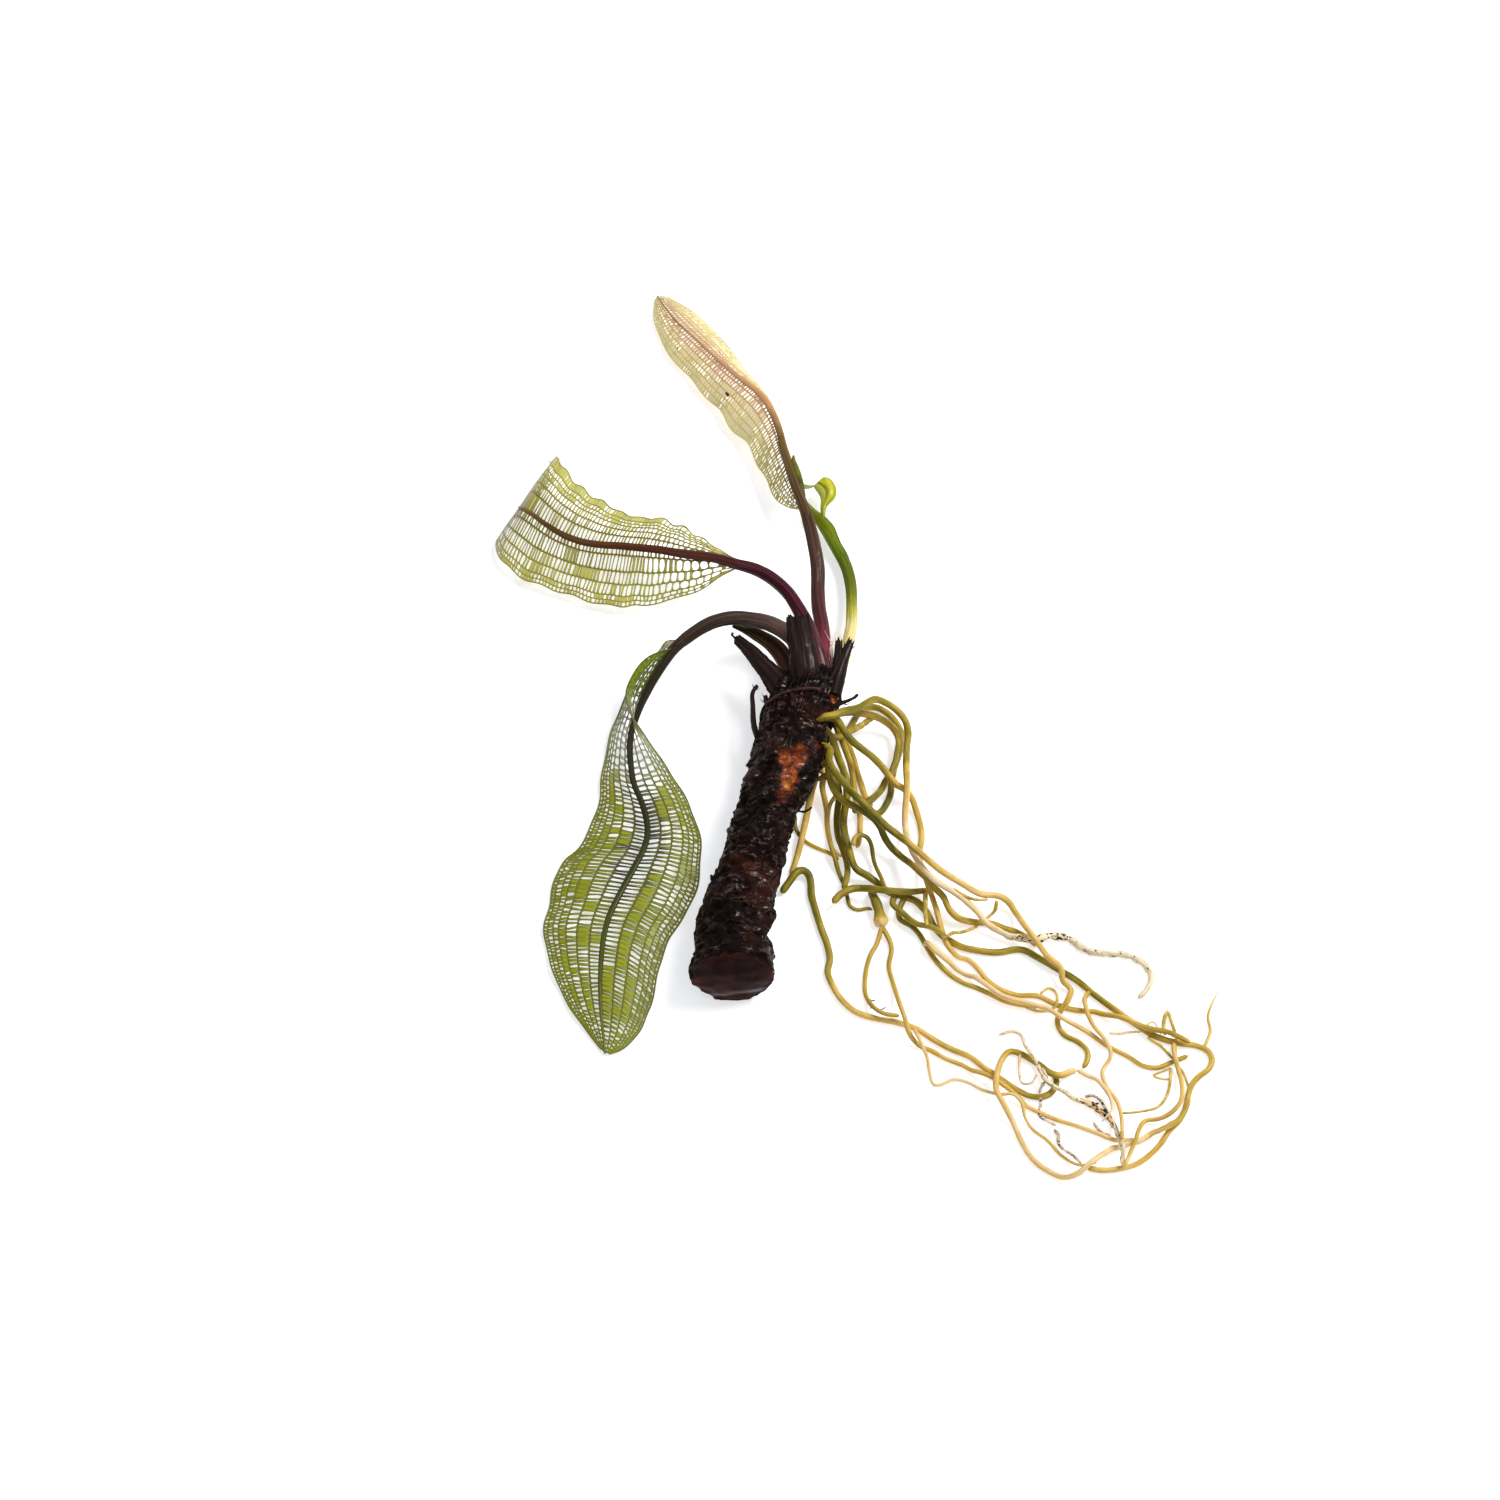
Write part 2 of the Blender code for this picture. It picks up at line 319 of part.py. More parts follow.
def make_object(name, rings, colour):
    """A closed skin over rings of points in millimetres, each ring with the same number of points."""
    mesh = bmesh.new()
    rows = [[mesh.verts.new(Vector(point) * MM) for point in ring] for ring in rings]
    sides = len(rows[0])
    for near, far in zip(rows, rows[1:]):
        for i in range(sides):
            j = (i + 1) % sides
            mesh.faces.new((near[i], near[j], far[j], far[i]))
    mesh.faces.new(reversed(rows[0]))
    mesh.faces.new(rows[-1])
    bmesh.ops.recalc_face_normals(mesh, faces=mesh.faces)
    if mesh.calc_volume(signed=True) < 0:
        bmesh.ops.reverse_faces(mesh, faces=mesh.faces)
    data = bpy.data.meshes.new(name)
    mesh.to_mesh(data)
    mesh.free()
    data.materials.append(material(colour))
    data.shade_smooth()
    data.set_sharp_from_angle(angle=math.radians(50))
    made = bpy.data.objects.new(name, data)
    bpy.context.scene.collection.objects.link(made)
    return made


def hide_cutter(cutter):
    cutter.hide_render = True
    cutter.display_type = "WIRE"
    return cutter


def boolean(target, tool, operation):
    step = target.modifiers.new(f"{operation.lower()}_{tool.name}", "BOOLEAN")
    step.operation = operation
    step.solver = "EXACT"
    step.object = tool


def seen(points, plane):
    """Waypoints whose x and y were read on a level plane, moved to where a point at height z truly is."""
    return np.array([(x - MIDDLE_X, y - (z - plane) * LOOK_BACK, z) for x, y, z in points])


def smooth(points, step=FINE_STEP):
    """A smooth curve through the waypoints, with a point at least every step."""
    points = np.array(points, float)
    spans = np.linalg.norm(np.diff(points, axis=0), axis=1)[:, None]
    slopes = np.diff(points, axis=0) / spans
    inner = (slopes[1:] * spans[:-1] + slopes[:-1] * spans[1:]) / (spans[1:] + spans[:-1])
    slopes = np.vstack([slopes[:1], inner, slopes[-1:]])
    curve = []
    for i, span in enumerate(spans[:, 0]):
        t = np.linspace(0, 1, max(2, math.ceil(span / step) + 1))[:-1, None]
        curve.append(
            (1 + 2 * t) * (1 - t) ** 2 * points[i]
            + t * (1 - t) ** 2 * span * slopes[i]
            + t**2 * (3 - 2 * t) * points[i + 1]
            + t**2 * (t - 1) * span * slopes[i + 1]
        )
    return np.vstack([*curve, points[-1:]])


def distance_along(curve):
    return np.concatenate([[0], np.cumsum(np.linalg.norm(np.diff(curve, axis=0), axis=1))])


def needed_rows(rows, tolerance):
    """Indices of the rows to keep, so that every other row is within the tolerance of the line between them."""
    kept = {0, len(rows) - 1}
    waiting = [(0, len(rows) - 1)]
    while waiting:
        first, last = waiting.pop()
        if last - first < 2:
            continue
        t = np.linspace(0, 1, last - first + 1)[:, None]
        away = np.linalg.norm(rows[first : last + 1] - (rows[first] + t * (rows[last] - rows[first])), axis=1)
        worst = int(away.argmax())
        if away[worst] > tolerance:
            kept.add(first + worst)
            waiting += [(first, first + worst), (first + worst, last)]
    return sorted(kept)


def tube_rings(curve, widths, heights, sides):
    """Rings round a curve: a level half-width and a half-height at each of its points."""
    tangents = np.gradient(curve, axis=0)
    tangents /= np.linalg.norm(tangents, axis=1)[:, None]
    rings = []
    for point, tangent, width, height in zip(curve, tangents, widths, heights):
        side = np.cross(tangent, (0, 0, 1))
        side /= np.linalg.norm(side)
        up = np.cross(side, tangent)
        turns = 2 * math.pi * np.arange(sides) / sides
        rings.append([point + side * width * math.cos(a) + up * height * math.sin(a) for a in turns])
    return rings


def stem(name, points, plane, widths, heights, colour, sides=8):
    """A stalk or stub whose half-width and half-height follow short lists spread evenly along it."""
    curve = smooth(seen(points, plane))
    share = distance_along(curve) / distance_along(curve)[-1]
    widths = np.interp(share, np.linspace(0, 1, len(widths)), widths)
    heights = np.interp(share, np.linspace(0, 1, len(heights)), heights)
    rows = needed_rows(np.column_stack([curve, widths, heights]), STALK_TOLERANCE)
    return make_object(name, tube_rings(curve[rows], widths[rows], heights[rows], sides), colour)


def rhizome_rings(grow=0.0):
    """Lumpy rings along the rhizome, with leaf scars round it and flat underneath where it lies on the surface."""
    table = np.array(RHIZOME_STATIONS)
    cut, crown = table[0, 0], table[-1, 0]
    rings = []
    for y in np.linspace(cut, crown, round((crown - cut) / RHIZOME_PITCH)):
        left, right, top = (np.interp(y, table[:, 0], table[:, i]) for i in (1, 2, 3))
        rings.append(rhizome_ring(y, left, right, top, grow))
    rings[0] = [(x, y - grow - CUT_LEAN * (1 - z / table[0, 3]), z) for x, y, z in rings[0]]
    for share in (0.72, 0.35):
        inset = (1 - share) * (right - left) / 2
        y = crown + grow + (1 - share) * CROWN_ROUNDING
        rings.append(rhizome_ring(y, left + inset, right - inset, top * (0.55 + 0.45 * share), grow))
    return rings


def rhizome_ring(y, left, right, top, grow):
    half_width = (right - left) / 2
    half_height = top / (1 + RHIZOME_SAG)
    middle = (left + right) / 2 - MIDDLE_X
    scar = SCAR_DEPTH * (1 - abs(math.sin(math.pi * y / SCAR_PITCH)) ** 0.6)
    ring = []
    for i in range(RHIZOME_SIDES):
        angle = 2 * math.pi * (i + 0.5) / RHIZOME_SIDES
        place = Vector((2.2 * math.cos(angle), y / LUMP_LENGTH, 2.2 * math.sin(angle)))
        out = BARK_LUMP * noise.noise(place) - scar + grow
        x = middle + (half_width + out) * math.cos(angle)
        z = half_height * RHIZOME_SAG + (half_height + out) * math.sin(angle)
        ring.append((x, y, max(z, -grow)))
    return ring


def place_at(curve, shares, share):
    return np.array([np.interp(share, shares, curve[:, axis]) for axis in range(3)])


def blade_rings(blade, plane, stations):
    """Closed cross-sections of a leaf blade: ribbed on top along its lanes, plain underneath."""
    curves = [smooth(seen(blade[edge], plane)) for edge in ("left", "middle", "right")]
    shares = [distance_along(curve) / distance_along(curve)[-1] for curve in curves]
    rings = []
    for share in np.linspace(0, 1, stations):
        edges = [place_at(curve, along, share) for curve, along in zip(curves, shares)]
        rings.append(blade_ring(*edges))
    return rings


def blade_ring(left, middle, right):
    top, bottom = [], []
    for step in range(-2 * LANES, 2 * LANES + 1):
        out = abs(step) / (2 * LANES)
        reach = (left if step < 0 else right) - middle
        point = middle + reach * out
        point[2] += BLADE_ARCH * np.linalg.norm(reach) * math.sin(math.pi * out)
        if out == 1:
            top.append(point)
            continue
        half = BLADE_THICKNESS / 2 * (1 - 0.5 * out**4)
        rib = MIDRIB_HEIGHT if step == 0 else VEIN_HEIGHT if step % 2 == 0 else 0
        top.append(point + (0, 0, rib + half))
        if step % 4 == 0:
            bottom.append(point - (0, 0, half))
    return top + bottom[::-1]


def root_heights(plan, radius, start_height, laid):
    """Heights along a root: down from its start to the surface, under the roots already laid where they arch
    over it with room to spare, and otherwise over them in low humps."""
    along = distance_along(plan)
    wanted = np.maximum(radius, start_height - ROOT_DROP * along)
    slope = np.abs(along[:, None] - along[None, :]) * ROOT_SLOPE
    crossings = []
    for other, other_radius in laid:
        apart = np.linalg.norm(plan[:, None] - other[None, :, :2], axis=2)
        reach = radius[:, None] + other_radius[None, :] + GAP + ROOT_TOLERANCE
        rise = np.sqrt(np.maximum(reach**2 - apart**2, 0))
        below = (rise > 0) & (wanted[:, None] + rise <= other[:, 2])
        crossings.append([rise, other[:, 2], below])
    while True:
        needed = wanted.copy()
        for rise, height, below in crossings:
            over = np.where((rise > 0) & ~below, height + rise, 0)
            needed = np.maximum(needed, over.max(axis=1))
        heights = (needed[None, :] - slope).max(axis=1)
        blocked = [crossing for crossing in crossings
                   if (crossing[2] & (heights[:, None] + crossing[0] > crossing[1])).any()]
        if not blocked:
            return heights
        for crossing in blocked:
            crossing[2] = np.zeros_like(crossing[2])


def lie_down(route, radius, start_height, laid):
    """A root's centre line, each point put where one at its height looks to be from the viewing angle."""
    read = smooth([(x - MIDDLE_X, y) for x, y in route])
    radius = np.linspace(radius[0], radius[1], len(read))
    heights = radius.copy()
    for _ in range(4):
        plan = np.column_stack([read[:, 0], read[:, 1] - (heights - ROOT_PLANE) * LOOK_BACK])
        heights = root_heights(plan, radius, start_height, laid)
    return np.column_stack([plan, heights]), radius


def build_rhizome():
    make_object("rhizome", rhizome_rings(), "bark")
    return hide_cutter(make_object("rhizome_clearance", rhizome_rings(GAP), "bark"))


def build_stubs():
    """Stubs and spurs: what is left of old stalks, dark and fibrous."""
    made = []
    for name, points, widths, heights, sides in (
        ("stub_left", STUB_LEFT, (2.3, 2.4, 2.0, 1.6, 0.9), (1.9, 1.7, 1.4, 1.1, 0.6), 8),
        ("stub_centre", STUB_CENTRE, (3.2, 3.4, 3.1, 2.9, 2.4), (1.7, 1.7, 1.4, 1.2, 0.8), 10),
        ("stub_right", STUB_RIGHT, (2.1, 2.1, 1.4, 0.6), (1.4, 1.3, 1.0, 0.5), 8),
        ("stub_right_prong", STUB_RIGHT_PRONG, (1.0, 1.1, 0.6), (0.9, 0.9, 0.5), 6),
        ("spur_left", SPUR_LEFT, (0.7, 0.6, 0.5, 0.35), (0.7, 0.6, 0.5, 0.35), 6),
        ("spur_nub", SPUR_NUB, (0.9, 0.7, 0.35), (0.8, 0.6, 0.3), 6),
        ("spur_right", SPUR_RIGHT, (0.5, 0.5, 0.3), (0.5, 0.5, 0.3), 6),
    ):
        made.append(stem(name, points, CROWN_PLANE, widths, heights, "old_stalk", sides))
    right, prong = made[2], made.pop(3)
    boolean(right, hide_cutter(prong), "UNION")
    return made


def build_stalks():
    """The stalks of the four leaves, and one old stalk whose leaf is gone."""
    made = []
    for name, points, plane, colour, widths, heights in (
        ("stalk_lower", STALK_LOWER, CROWN_PLANE, "stalk_brown",
         (2.0, 1.9, 1.6, 1.5, 1.3), (1.6, 1.5, 1.3, 1.2, 1.0)),
        ("stalk_old", STALK_OLD, CROWN_PLANE, "old_stalk",
         (1.6, 2.0, 1.9, 1.5, 0.5), (1.3, 1.2, 1.1, 0.9, 0.4)),
        ("stalk_left", STALK_LEFT, CROWN_PLANE, "stalk_crimson",
         (1.9, 1.8, 1.5, 1.4, 1.3), (1.6, 1.5, 1.3, 1.2, 1.1)),
        ("stalk_upper", STALK_UPPER, STALK_PLANE, "stalk_crimson",
         (1.7, 1.6, 1.5, 1.5, 1.3), (1.6, 1.5, 1.4, 1.3, 1.1)),
        ("stalk_young", STALK_YOUNG, STALK_PLANE, "stalk_green",
         (1.3, 1.4, 1.3, 1.4), (1.2, 1.2, 1.1, 1.1)),
    ):
        made.append(stem(name, points, plane, widths, heights, colour))
    return made


def build_leaves():
    make_object("blade_lower", blade_rings(LOWER_BLADE, LOW_LEAF_PLANE, 19), "leaf_green")
    make_object("blade_left", blade_rings(LEFT_BLADE, LEAF_PLANE, 18), "leaf_yellow")
    make_object("blade_upper", blade_rings(UPPER_BLADE, STALK_PLANE, 14), "leaf_tan")
    widths = (1.3, 2.1, 1.2, 0.9, 0.8, 1.9, 1.8, 0.5)
    heights = (1.0, 1.6, 1.0, 0.8, 0.7, 1.5, 1.4, 0.4)
    stem("blade_young", YOUNG_LEAF, STALK_PLANE, widths, heights, "leaf_young")


def build_roots(clearance):
    laid = []
    for name, first, last, start_height, colour, from_rhizome, route in ROOTS:
        curve, radius = lie_down(route, (first, last), start_height, laid)
        laid.append((curve, radius))
        rows = needed_rows(np.column_stack([curve, radius]), ROOT_TOLERANCE)
        root = make_object(name, tube_rings(curve[rows], radius[rows], radius[rows], ROOT_SIDES), colour)
        if from_rhizome:
            boolean(root, clearance, "DIFFERENCE")


def main():
    clear_scene()
    clearance = build_rhizome()
    for piece in build_stubs() + build_stalks():
        boolean(piece, clearance, "DIFFERENCE")
    build_leaves()
    build_roots(clearance)


main()
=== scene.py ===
import math

import bpy
import numpy as np
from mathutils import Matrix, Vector, noise


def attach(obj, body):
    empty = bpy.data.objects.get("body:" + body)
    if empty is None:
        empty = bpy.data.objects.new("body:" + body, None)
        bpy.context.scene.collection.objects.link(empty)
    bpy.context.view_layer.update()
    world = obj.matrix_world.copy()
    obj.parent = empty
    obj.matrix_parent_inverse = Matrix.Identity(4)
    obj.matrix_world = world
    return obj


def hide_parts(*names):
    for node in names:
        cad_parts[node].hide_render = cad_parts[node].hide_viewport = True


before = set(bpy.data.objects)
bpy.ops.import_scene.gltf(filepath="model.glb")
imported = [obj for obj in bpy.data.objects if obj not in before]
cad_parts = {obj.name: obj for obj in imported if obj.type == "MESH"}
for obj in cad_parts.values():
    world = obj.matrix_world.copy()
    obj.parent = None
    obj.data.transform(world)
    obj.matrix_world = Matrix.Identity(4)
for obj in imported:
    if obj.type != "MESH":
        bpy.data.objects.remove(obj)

# Lengths are in millimetres until a mesh is made. Waypoints are places as they look from 60 degrees above the
# surface, on a level plane at a named height, with x counted from a line beside the rhizome's middle.
mm = 0.001
viewAngle = math.radians(60)
lookBack = 1 / math.tan(viewAngle)
middleX = -2.8
floorClearance = 0.12
crownPlane = 9.0
stalkPlane = 6.0
leafPlane = 8.0
lowLeafPlane = 2.0
rootPlane = 1.0
lowest = 0.02
highest = 17.45
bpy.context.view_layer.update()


# paths
def seen(points, plane):
    return np.array([(x - middleX, y - (z - plane) * lookBack, z) for x, y, z in points])


def smooth(points, step=0.8):
    points = np.array(points, float)
    spans = np.linalg.norm(np.diff(points, axis=0), axis=1)[:, None]
    slopes = np.diff(points, axis=0) / spans
    inner = (slopes[1:] * spans[:-1] + slopes[:-1] * spans[1:]) / (spans[1:] + spans[:-1])
    slopes = np.vstack([slopes[:1], inner, slopes[-1:]])
    curve = []
    for i, span in enumerate(spans[:, 0]):
        t = np.linspace(0, 1, max(2, math.ceil(span / step) + 1))[:-1, None]
        curve.append(
            (1 + 2 * t) * (1 - t) ** 2 * points[i]
            + t * (1 - t) ** 2 * span * slopes[i]
            + t**2 * (3 - 2 * t) * points[i + 1]
            + t**2 * (t - 1) * span * slopes[i + 1]
        )
    return np.vstack([*curve, points[-1:]])


def distanceAlong(curve):
    return np.concatenate([[0], np.cumsum(np.linalg.norm(np.diff(curve, axis=0), axis=1))])


def at(curve, along, places):
    return np.column_stack([np.interp(places, along, curve[:, axis]) for axis in range(curve.shape[1])])


def evenly(curve, step):
    along = distanceAlong(curve)
    return at(curve, along, np.linspace(0, along[-1], max(4, round(along[-1] / step))))


def finely(points, step):
    return evenly(smooth(points, step), step)


def turns(sides):
    return 2 * math.pi * np.arange(sides) / sides


def spread(values, shares):
    return np.interp(shares, np.linspace(0, 1, len(values)), values)


def ease(value):
    value = np.clip(value, 0, 1)
    return value * value * (3 - 2 * value)


def grain(x, y, z):
    return noise.noise(Vector((x, y, z)))


def lumpy(count, lumps, length, row, seed):
    # how a strand's girth wanders along its points
    return [1 + lumps * grain(i / length, row, seed) for i in range(count)]


# meshes
def mark(mesh, name, values, kind="FLOAT", domain="POINT"):
    layer = mesh.attributes.new(name, kind, domain)
    layer.data.foreach_set("vector" if kind == "FLOAT_VECTOR" else "value", np.asarray(values, np.float32).ravel())


def plainMesh(name, points, faces, edges=(), attributes=None, domains=None):
    mesh = bpy.data.meshes.new(name)
    mesh.from_pydata(np.asarray(points) * mm, edges, faces)
    for key, values in (attributes or {}).items():
        kind = "FLOAT_VECTOR" if np.ndim(values) == 2 else "FLOAT"
        mark(mesh, key, values, kind, (domains or {}).get(key, "POINT"))
    return mesh


def skin(name, grid, attributes):
    # a closed skin over rings of points, with attributes given ring by ring
    rows, sides = grid.shape[:2]
    points = np.vstack([grid.reshape(-1, 3), grid[0].mean(0), grid[-1].mean(0)])
    index = np.arange(rows * sides).reshape(rows, sides)
    near, far = index[:-1], index[1:]
    faces = np.stack([near, np.roll(near, -1, 1), np.roll(far, -1, 1), far], -1).reshape(-1, 4).tolist()
    for i in range(sides):
        j = (i + 1) % sides
        faces.append((index[0, j], index[0, i], rows * sides))
        faces.append((index[-1, i], index[-1, j], rows * sides + 1))
    flat = {}
    for key, values in attributes.items():
        rest = values.shape[2:]
        flat[key] = np.concatenate([values.reshape(-1, *rest), values[:1].mean(1), values[-1:].mean(1)])
    mesh = plainMesh(name, points, faces, attributes=flat)
    middle = grid.mean((0, 1))
    a, b, c = (grid[:-1] - middle), (np.roll(grid, -1, 1)[:-1] - middle), (grid[1:] - middle)
    if (np.cross(a, b) * c).sum() < 0:
        mesh.flip_normals()
    mesh.shade_smooth()
    return mesh


def rounding(along, radius, start=True):
    # how the girth closes at the ends, as half a ball
    def closing(away):
        return np.sqrt(1 - np.clip(1 - away / radius, 0, 0.98) ** 2)

    share = closing(along[-1] - along)
    return np.minimum(share, closing(along)) if start else share


def tube(name, curve, wide, tall, sides, relief, **extra):
    # a closed skin round a curve, with extra attributes given point by point along it
    along = distanceAlong(curve)
    tangents = np.gradient(curve, axis=0)
    tangents /= np.linalg.norm(tangents, axis=1)[:, None]
    side = np.cross(tangents, (0, 0, 1))
    side /= np.linalg.norm(side, axis=1)[:, None]
    up = np.cross(side, tangents)
    angle = turns(sides)
    across = (wide[:, None] * relief * np.cos(angle))[..., None] * side[:, None]
    grid = curve[:, None] + across + (tall[:, None] * relief * np.sin(angle))[..., None] * up[:, None]
    grid[..., 2] = np.maximum(grid[..., 2], lowest)
    angle = np.broadcast_to(angle, grid.shape[:2])
    down = np.broadcast_to(along[:, None], grid.shape[:2])
    attributes = {"skin": np.stack([np.cos(angle), np.sin(angle), down], -1), "share": down / along[-1]}
    for key, values in extra.items():
        attributes[key] = np.broadcast_to(values[:, None], grid.shape[:2])
    return skin(name, grid, attributes)


def piece(name, mesh, finish, slot, *replaced):
    made = bpy.data.objects.new(name, mesh)
    bpy.context.scene.collection.objects.link(made)
    mesh.materials.clear()
    mesh.materials.append(finish)
    if replaced:
        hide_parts(*replaced)
    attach(made, "root")


# node trees
def operator(operation, turned=False):
    # turned: the value is the second of the two
    def combined(self, other):
        pair = (other, self) if turned else (self, other)
        return self.tree.add("ShaderNodeMath", {"operation": operation}, dict(enumerate(pair)))
    return combined


class Value:
    # a socket that can be reckoned with
    def __init__(self, tree, socket):
        self.tree, self.socket = tree, socket

    __add__, __radd__ = operator("ADD"), operator("ADD")
    __sub__, __rsub__ = operator("SUBTRACT"), operator("SUBTRACT", True)
    __mul__, __rmul__ = operator("MULTIPLY"), operator("MULTIPLY")
    __truediv__, __pow__ = operator("DIVIDE"), operator("POWER")
    __gt__, __lt__ = operator("GREATER_THAN"), operator("LESS_THAN")

    def clamped(self):
        return self.tree.add("ShaderNodeClamp", {}, {0: self})

    def between(self, low, high):
        return self.tree.add("ShaderNodeMapRange", {"interpolation_type": "SMOOTHSTEP"},
                             {"Value": self, "From Min": low, "From Max": high})

    def output(self, name):
        return Value(self.tree, self.socket.node.outputs[name])


class Tree:
    def __init__(self, nodeTree):
        self.nodes, self.links = nodeTree.nodes, nodeTree.links

    def add(self, kind, settings=None, values=None, out=0):
        node = self.nodes.new(kind)
        for key, setting in (settings or {}).items():
            if key == "stops":
                self.setStops(node.color_ramp, setting)
            else:
                setattr(node, key, setting)
        for key, value in (values or {}).items():
            if isinstance(value, Value):
                self.links.new(value.socket, node.inputs[key])
            else:
                node.inputs[key].default_value = value
        return Value(self, node.outputs[out]) if len(node.outputs) else node

    def setStops(self, ramp, stops):
        while len(ramp.elements) < len(stops):
            ramp.elements.new(0.5)
        for element, (place, shade) in zip(ramp.elements, stops):
            element.position, element.color = place, shade

    def ramp(self, share, *stops):
        return self.add("ShaderNodeValToRGB", {"stops": stops}, {0: share})

    def mix(self, share, first, second, mode="MIX"):
        return self.add("ShaderNodeMix", {"data_type": "RGBA", "blend_type": mode}, {0: share, 6: first, 7: second}, 2)

    def attribute(self, name, out="Fac"):
        return self.add("ShaderNodeAttribute", {"attribute_name": name}, out=out)

    def stretched(self, vector, x, y, z):
        return self.add("ShaderNodeVectorMath", {"operation": "MULTIPLY"}, {0: vector, 1: (x, y, z)})

    def grain(self, vector, scale, detail=3.0, roughness=0.55, distortion=0.0):
        return self.add(
            "ShaderNodeTexNoise", {},
            {"Vector": vector, "Scale": scale, "Detail": detail, "Roughness": roughness, "Distortion": distortion},
        )


lightLevel = 1.05


def shade(red, green, blue):
    # a colour from 0 to 255 as it looks in this light, as linear red, green, blue, alpha
    steps = [(c / 255 / 12.92) if c <= 10 else ((c / 255 + 0.055) / 1.055) ** 2.4 for c in (red, green, blue)]
    return (*(min(step / lightLevel, 0.9) for step in steps), 1)


class Finish:
    # one material: constants go straight on its shader, and what varies is linked
    def __init__(self, name, **constants):
        self.material = bpy.data.materials.new(name)
        self.material.use_nodes = True
        self.tree = Tree(self.material.node_tree)
        self.shader = self.material.node_tree.nodes["Principled BSDF"]
        for key, value in constants.items():
            self.shader.inputs[key.replace("_", " ")].default_value = value

    def link(self, **values):
        for key, value in values.items():
            self.tree.links.new(value.socket, self.shader.inputs[key.replace("_", " ")])
        return self

    def bump(self, height, strength, distance):
        values = {"Height": height, "Strength": strength, "Distance": distance}
        self.link(Normal=self.tree.add("ShaderNodeBump", {}, values))
        return self.material


def growthTree(name, inputs):
    group = bpy.data.node_groups.new(name, "GeometryNodeTree")
    group.interface.new_socket("Geometry", in_out="INPUT", socket_type="NodeSocketGeometry")
    for label, kind, value in inputs:
        socket = group.interface.new_socket(label, in_out="INPUT", socket_type=kind)
        if value is not None:
            socket.default_value = value
    group.interface.new_socket("Geometry", in_out="OUTPUT", socket_type="NodeSocketGeometry")
    tree = Tree(group)
    start = tree.nodes.new("NodeGroupInput")
    return group, tree, {socket.name: Value(tree, socket) for socket in start.outputs if socket.name}


def endTree(tree, geometry, material):
    whole = tree.add("GeometryNodeRealizeInstances", {}, {0: geometry})
    dressed = tree.add("GeometryNodeSetMaterial", {}, {"Geometry": whole, "Material": material})
    finish = tree.nodes.new("NodeGroupOutput")
    tree.links.new(dressed.socket, finish.inputs[0])


def grow(name, base, group, settings, sheet=0.0):
    # runs a base mesh through a tree, gives it a wall where it is a sheet, and returns the plain mesh
    host = bpy.data.objects.new(name, base)
    bpy.context.scene.collection.objects.link(host)
    step = host.modifiers.new("growth", "NODES")
    step.node_group = group
    for item in group.interface.items_tree:
        if item.in_out == "INPUT" and item.name in settings:
            step[item.identifier] = settings[item.name]
    if sheet:
        wall = host.modifiers.new("wall", "SOLIDIFY")
        wall.thickness, wall.offset = sheet * mm, 0
    made = bpy.data.meshes.new_from_object(host.evaluated_get(bpy.context.evaluated_depsgraph_get()))
    bpy.data.objects.remove(host)
    return made


def named(tree, name, kind="FLOAT"):
    return tree.add("GeometryNodeInputNamedAttribute", {"data_type": kind}, {"Name": name})


# The lattice: each cell of a lane shrinks inside its frame of veins, and an open one is cut out
laceGroup, laceTree, laceIn = growthTree("lattice", [
    ("Material", "NodeSocketMaterial", None), ("Rounding", "NodeSocketInt", 1),
    ("Corner Crease", "NodeSocketFloat", 0.24)])
extruded = laceTree.add("GeometryNodeExtrudeMesh", {"mode": "FACES"}, {
    "Mesh": laceIn["Geometry"], "Offset Scale": 0.0, "Individual": True}, "Mesh")
pane = extruded.output("Top")
for axis, keep in (("alongAxis", "keepHigh"), ("acrossAxis", "keepWide")):
    extruded = laceTree.add(
        "GeometryNodeScaleElements", {"domain": "FACE", "scale_mode": "SINGLE_AXIS"},
        {"Geometry": extruded, "Selection": pane, "Scale": named(laceTree, keep),
         "Axis": named(laceTree, axis, "FLOAT_VECTOR")},
    )
tissue = laceTree.add("GeometryNodeStoreNamedAttribute", {"data_type": "FLOAT", "domain": "FACE"},
                      {"Geometry": extruded, "Name": "tissue", "Value": pane})
window = pane * (named(laceTree, "open") > 0.5)
cut = laceTree.add("GeometryNodeDeleteGeometry", {"domain": "FACE"}, {"Geometry": tissue, "Selection": window})
rounded = laceTree.add("GeometryNodeSubdivisionSurface", {"boundary_smooth": "ALL"}, {
    "Mesh": cut, "Level": laceIn["Rounding"], "Vertex Crease": laceIn["Corner Crease"], "Limit Surface": False})
softened = laceTree.add("GeometryNodeSetShadeSmooth", {}, {0: rounded})
endTree(laceTree, softened, laceIn["Material"])

# Ribs and fibres: a thin tube along every path, as thick as the path's own girth says
ribGroup, ribTree, ribIn = growthTree("ribs", [("Material", "NodeSocketMaterial", None), ("Sides", "NodeSocketInt", 6)])
paths = ribTree.add("GeometryNodeMeshToCurve", {}, {"Mesh": ribIn["Geometry"]})
ring = ribTree.add("GeometryNodeCurvePrimitiveCircle", {}, {"Resolution": ribIn["Sides"], "Radius": 1.0})
ribs = ribTree.add("GeometryNodeCurveToMesh", {}, {"Curve": paths, "Profile Curve": ring, "Fill Caps": True,
                                                  "Scale": named(ribTree, "girth")})
ribs = ribTree.add("GeometryNodeSetShadeSmooth", {}, {0: ribs})
endTree(ribTree, ribs, ribIn["Material"])

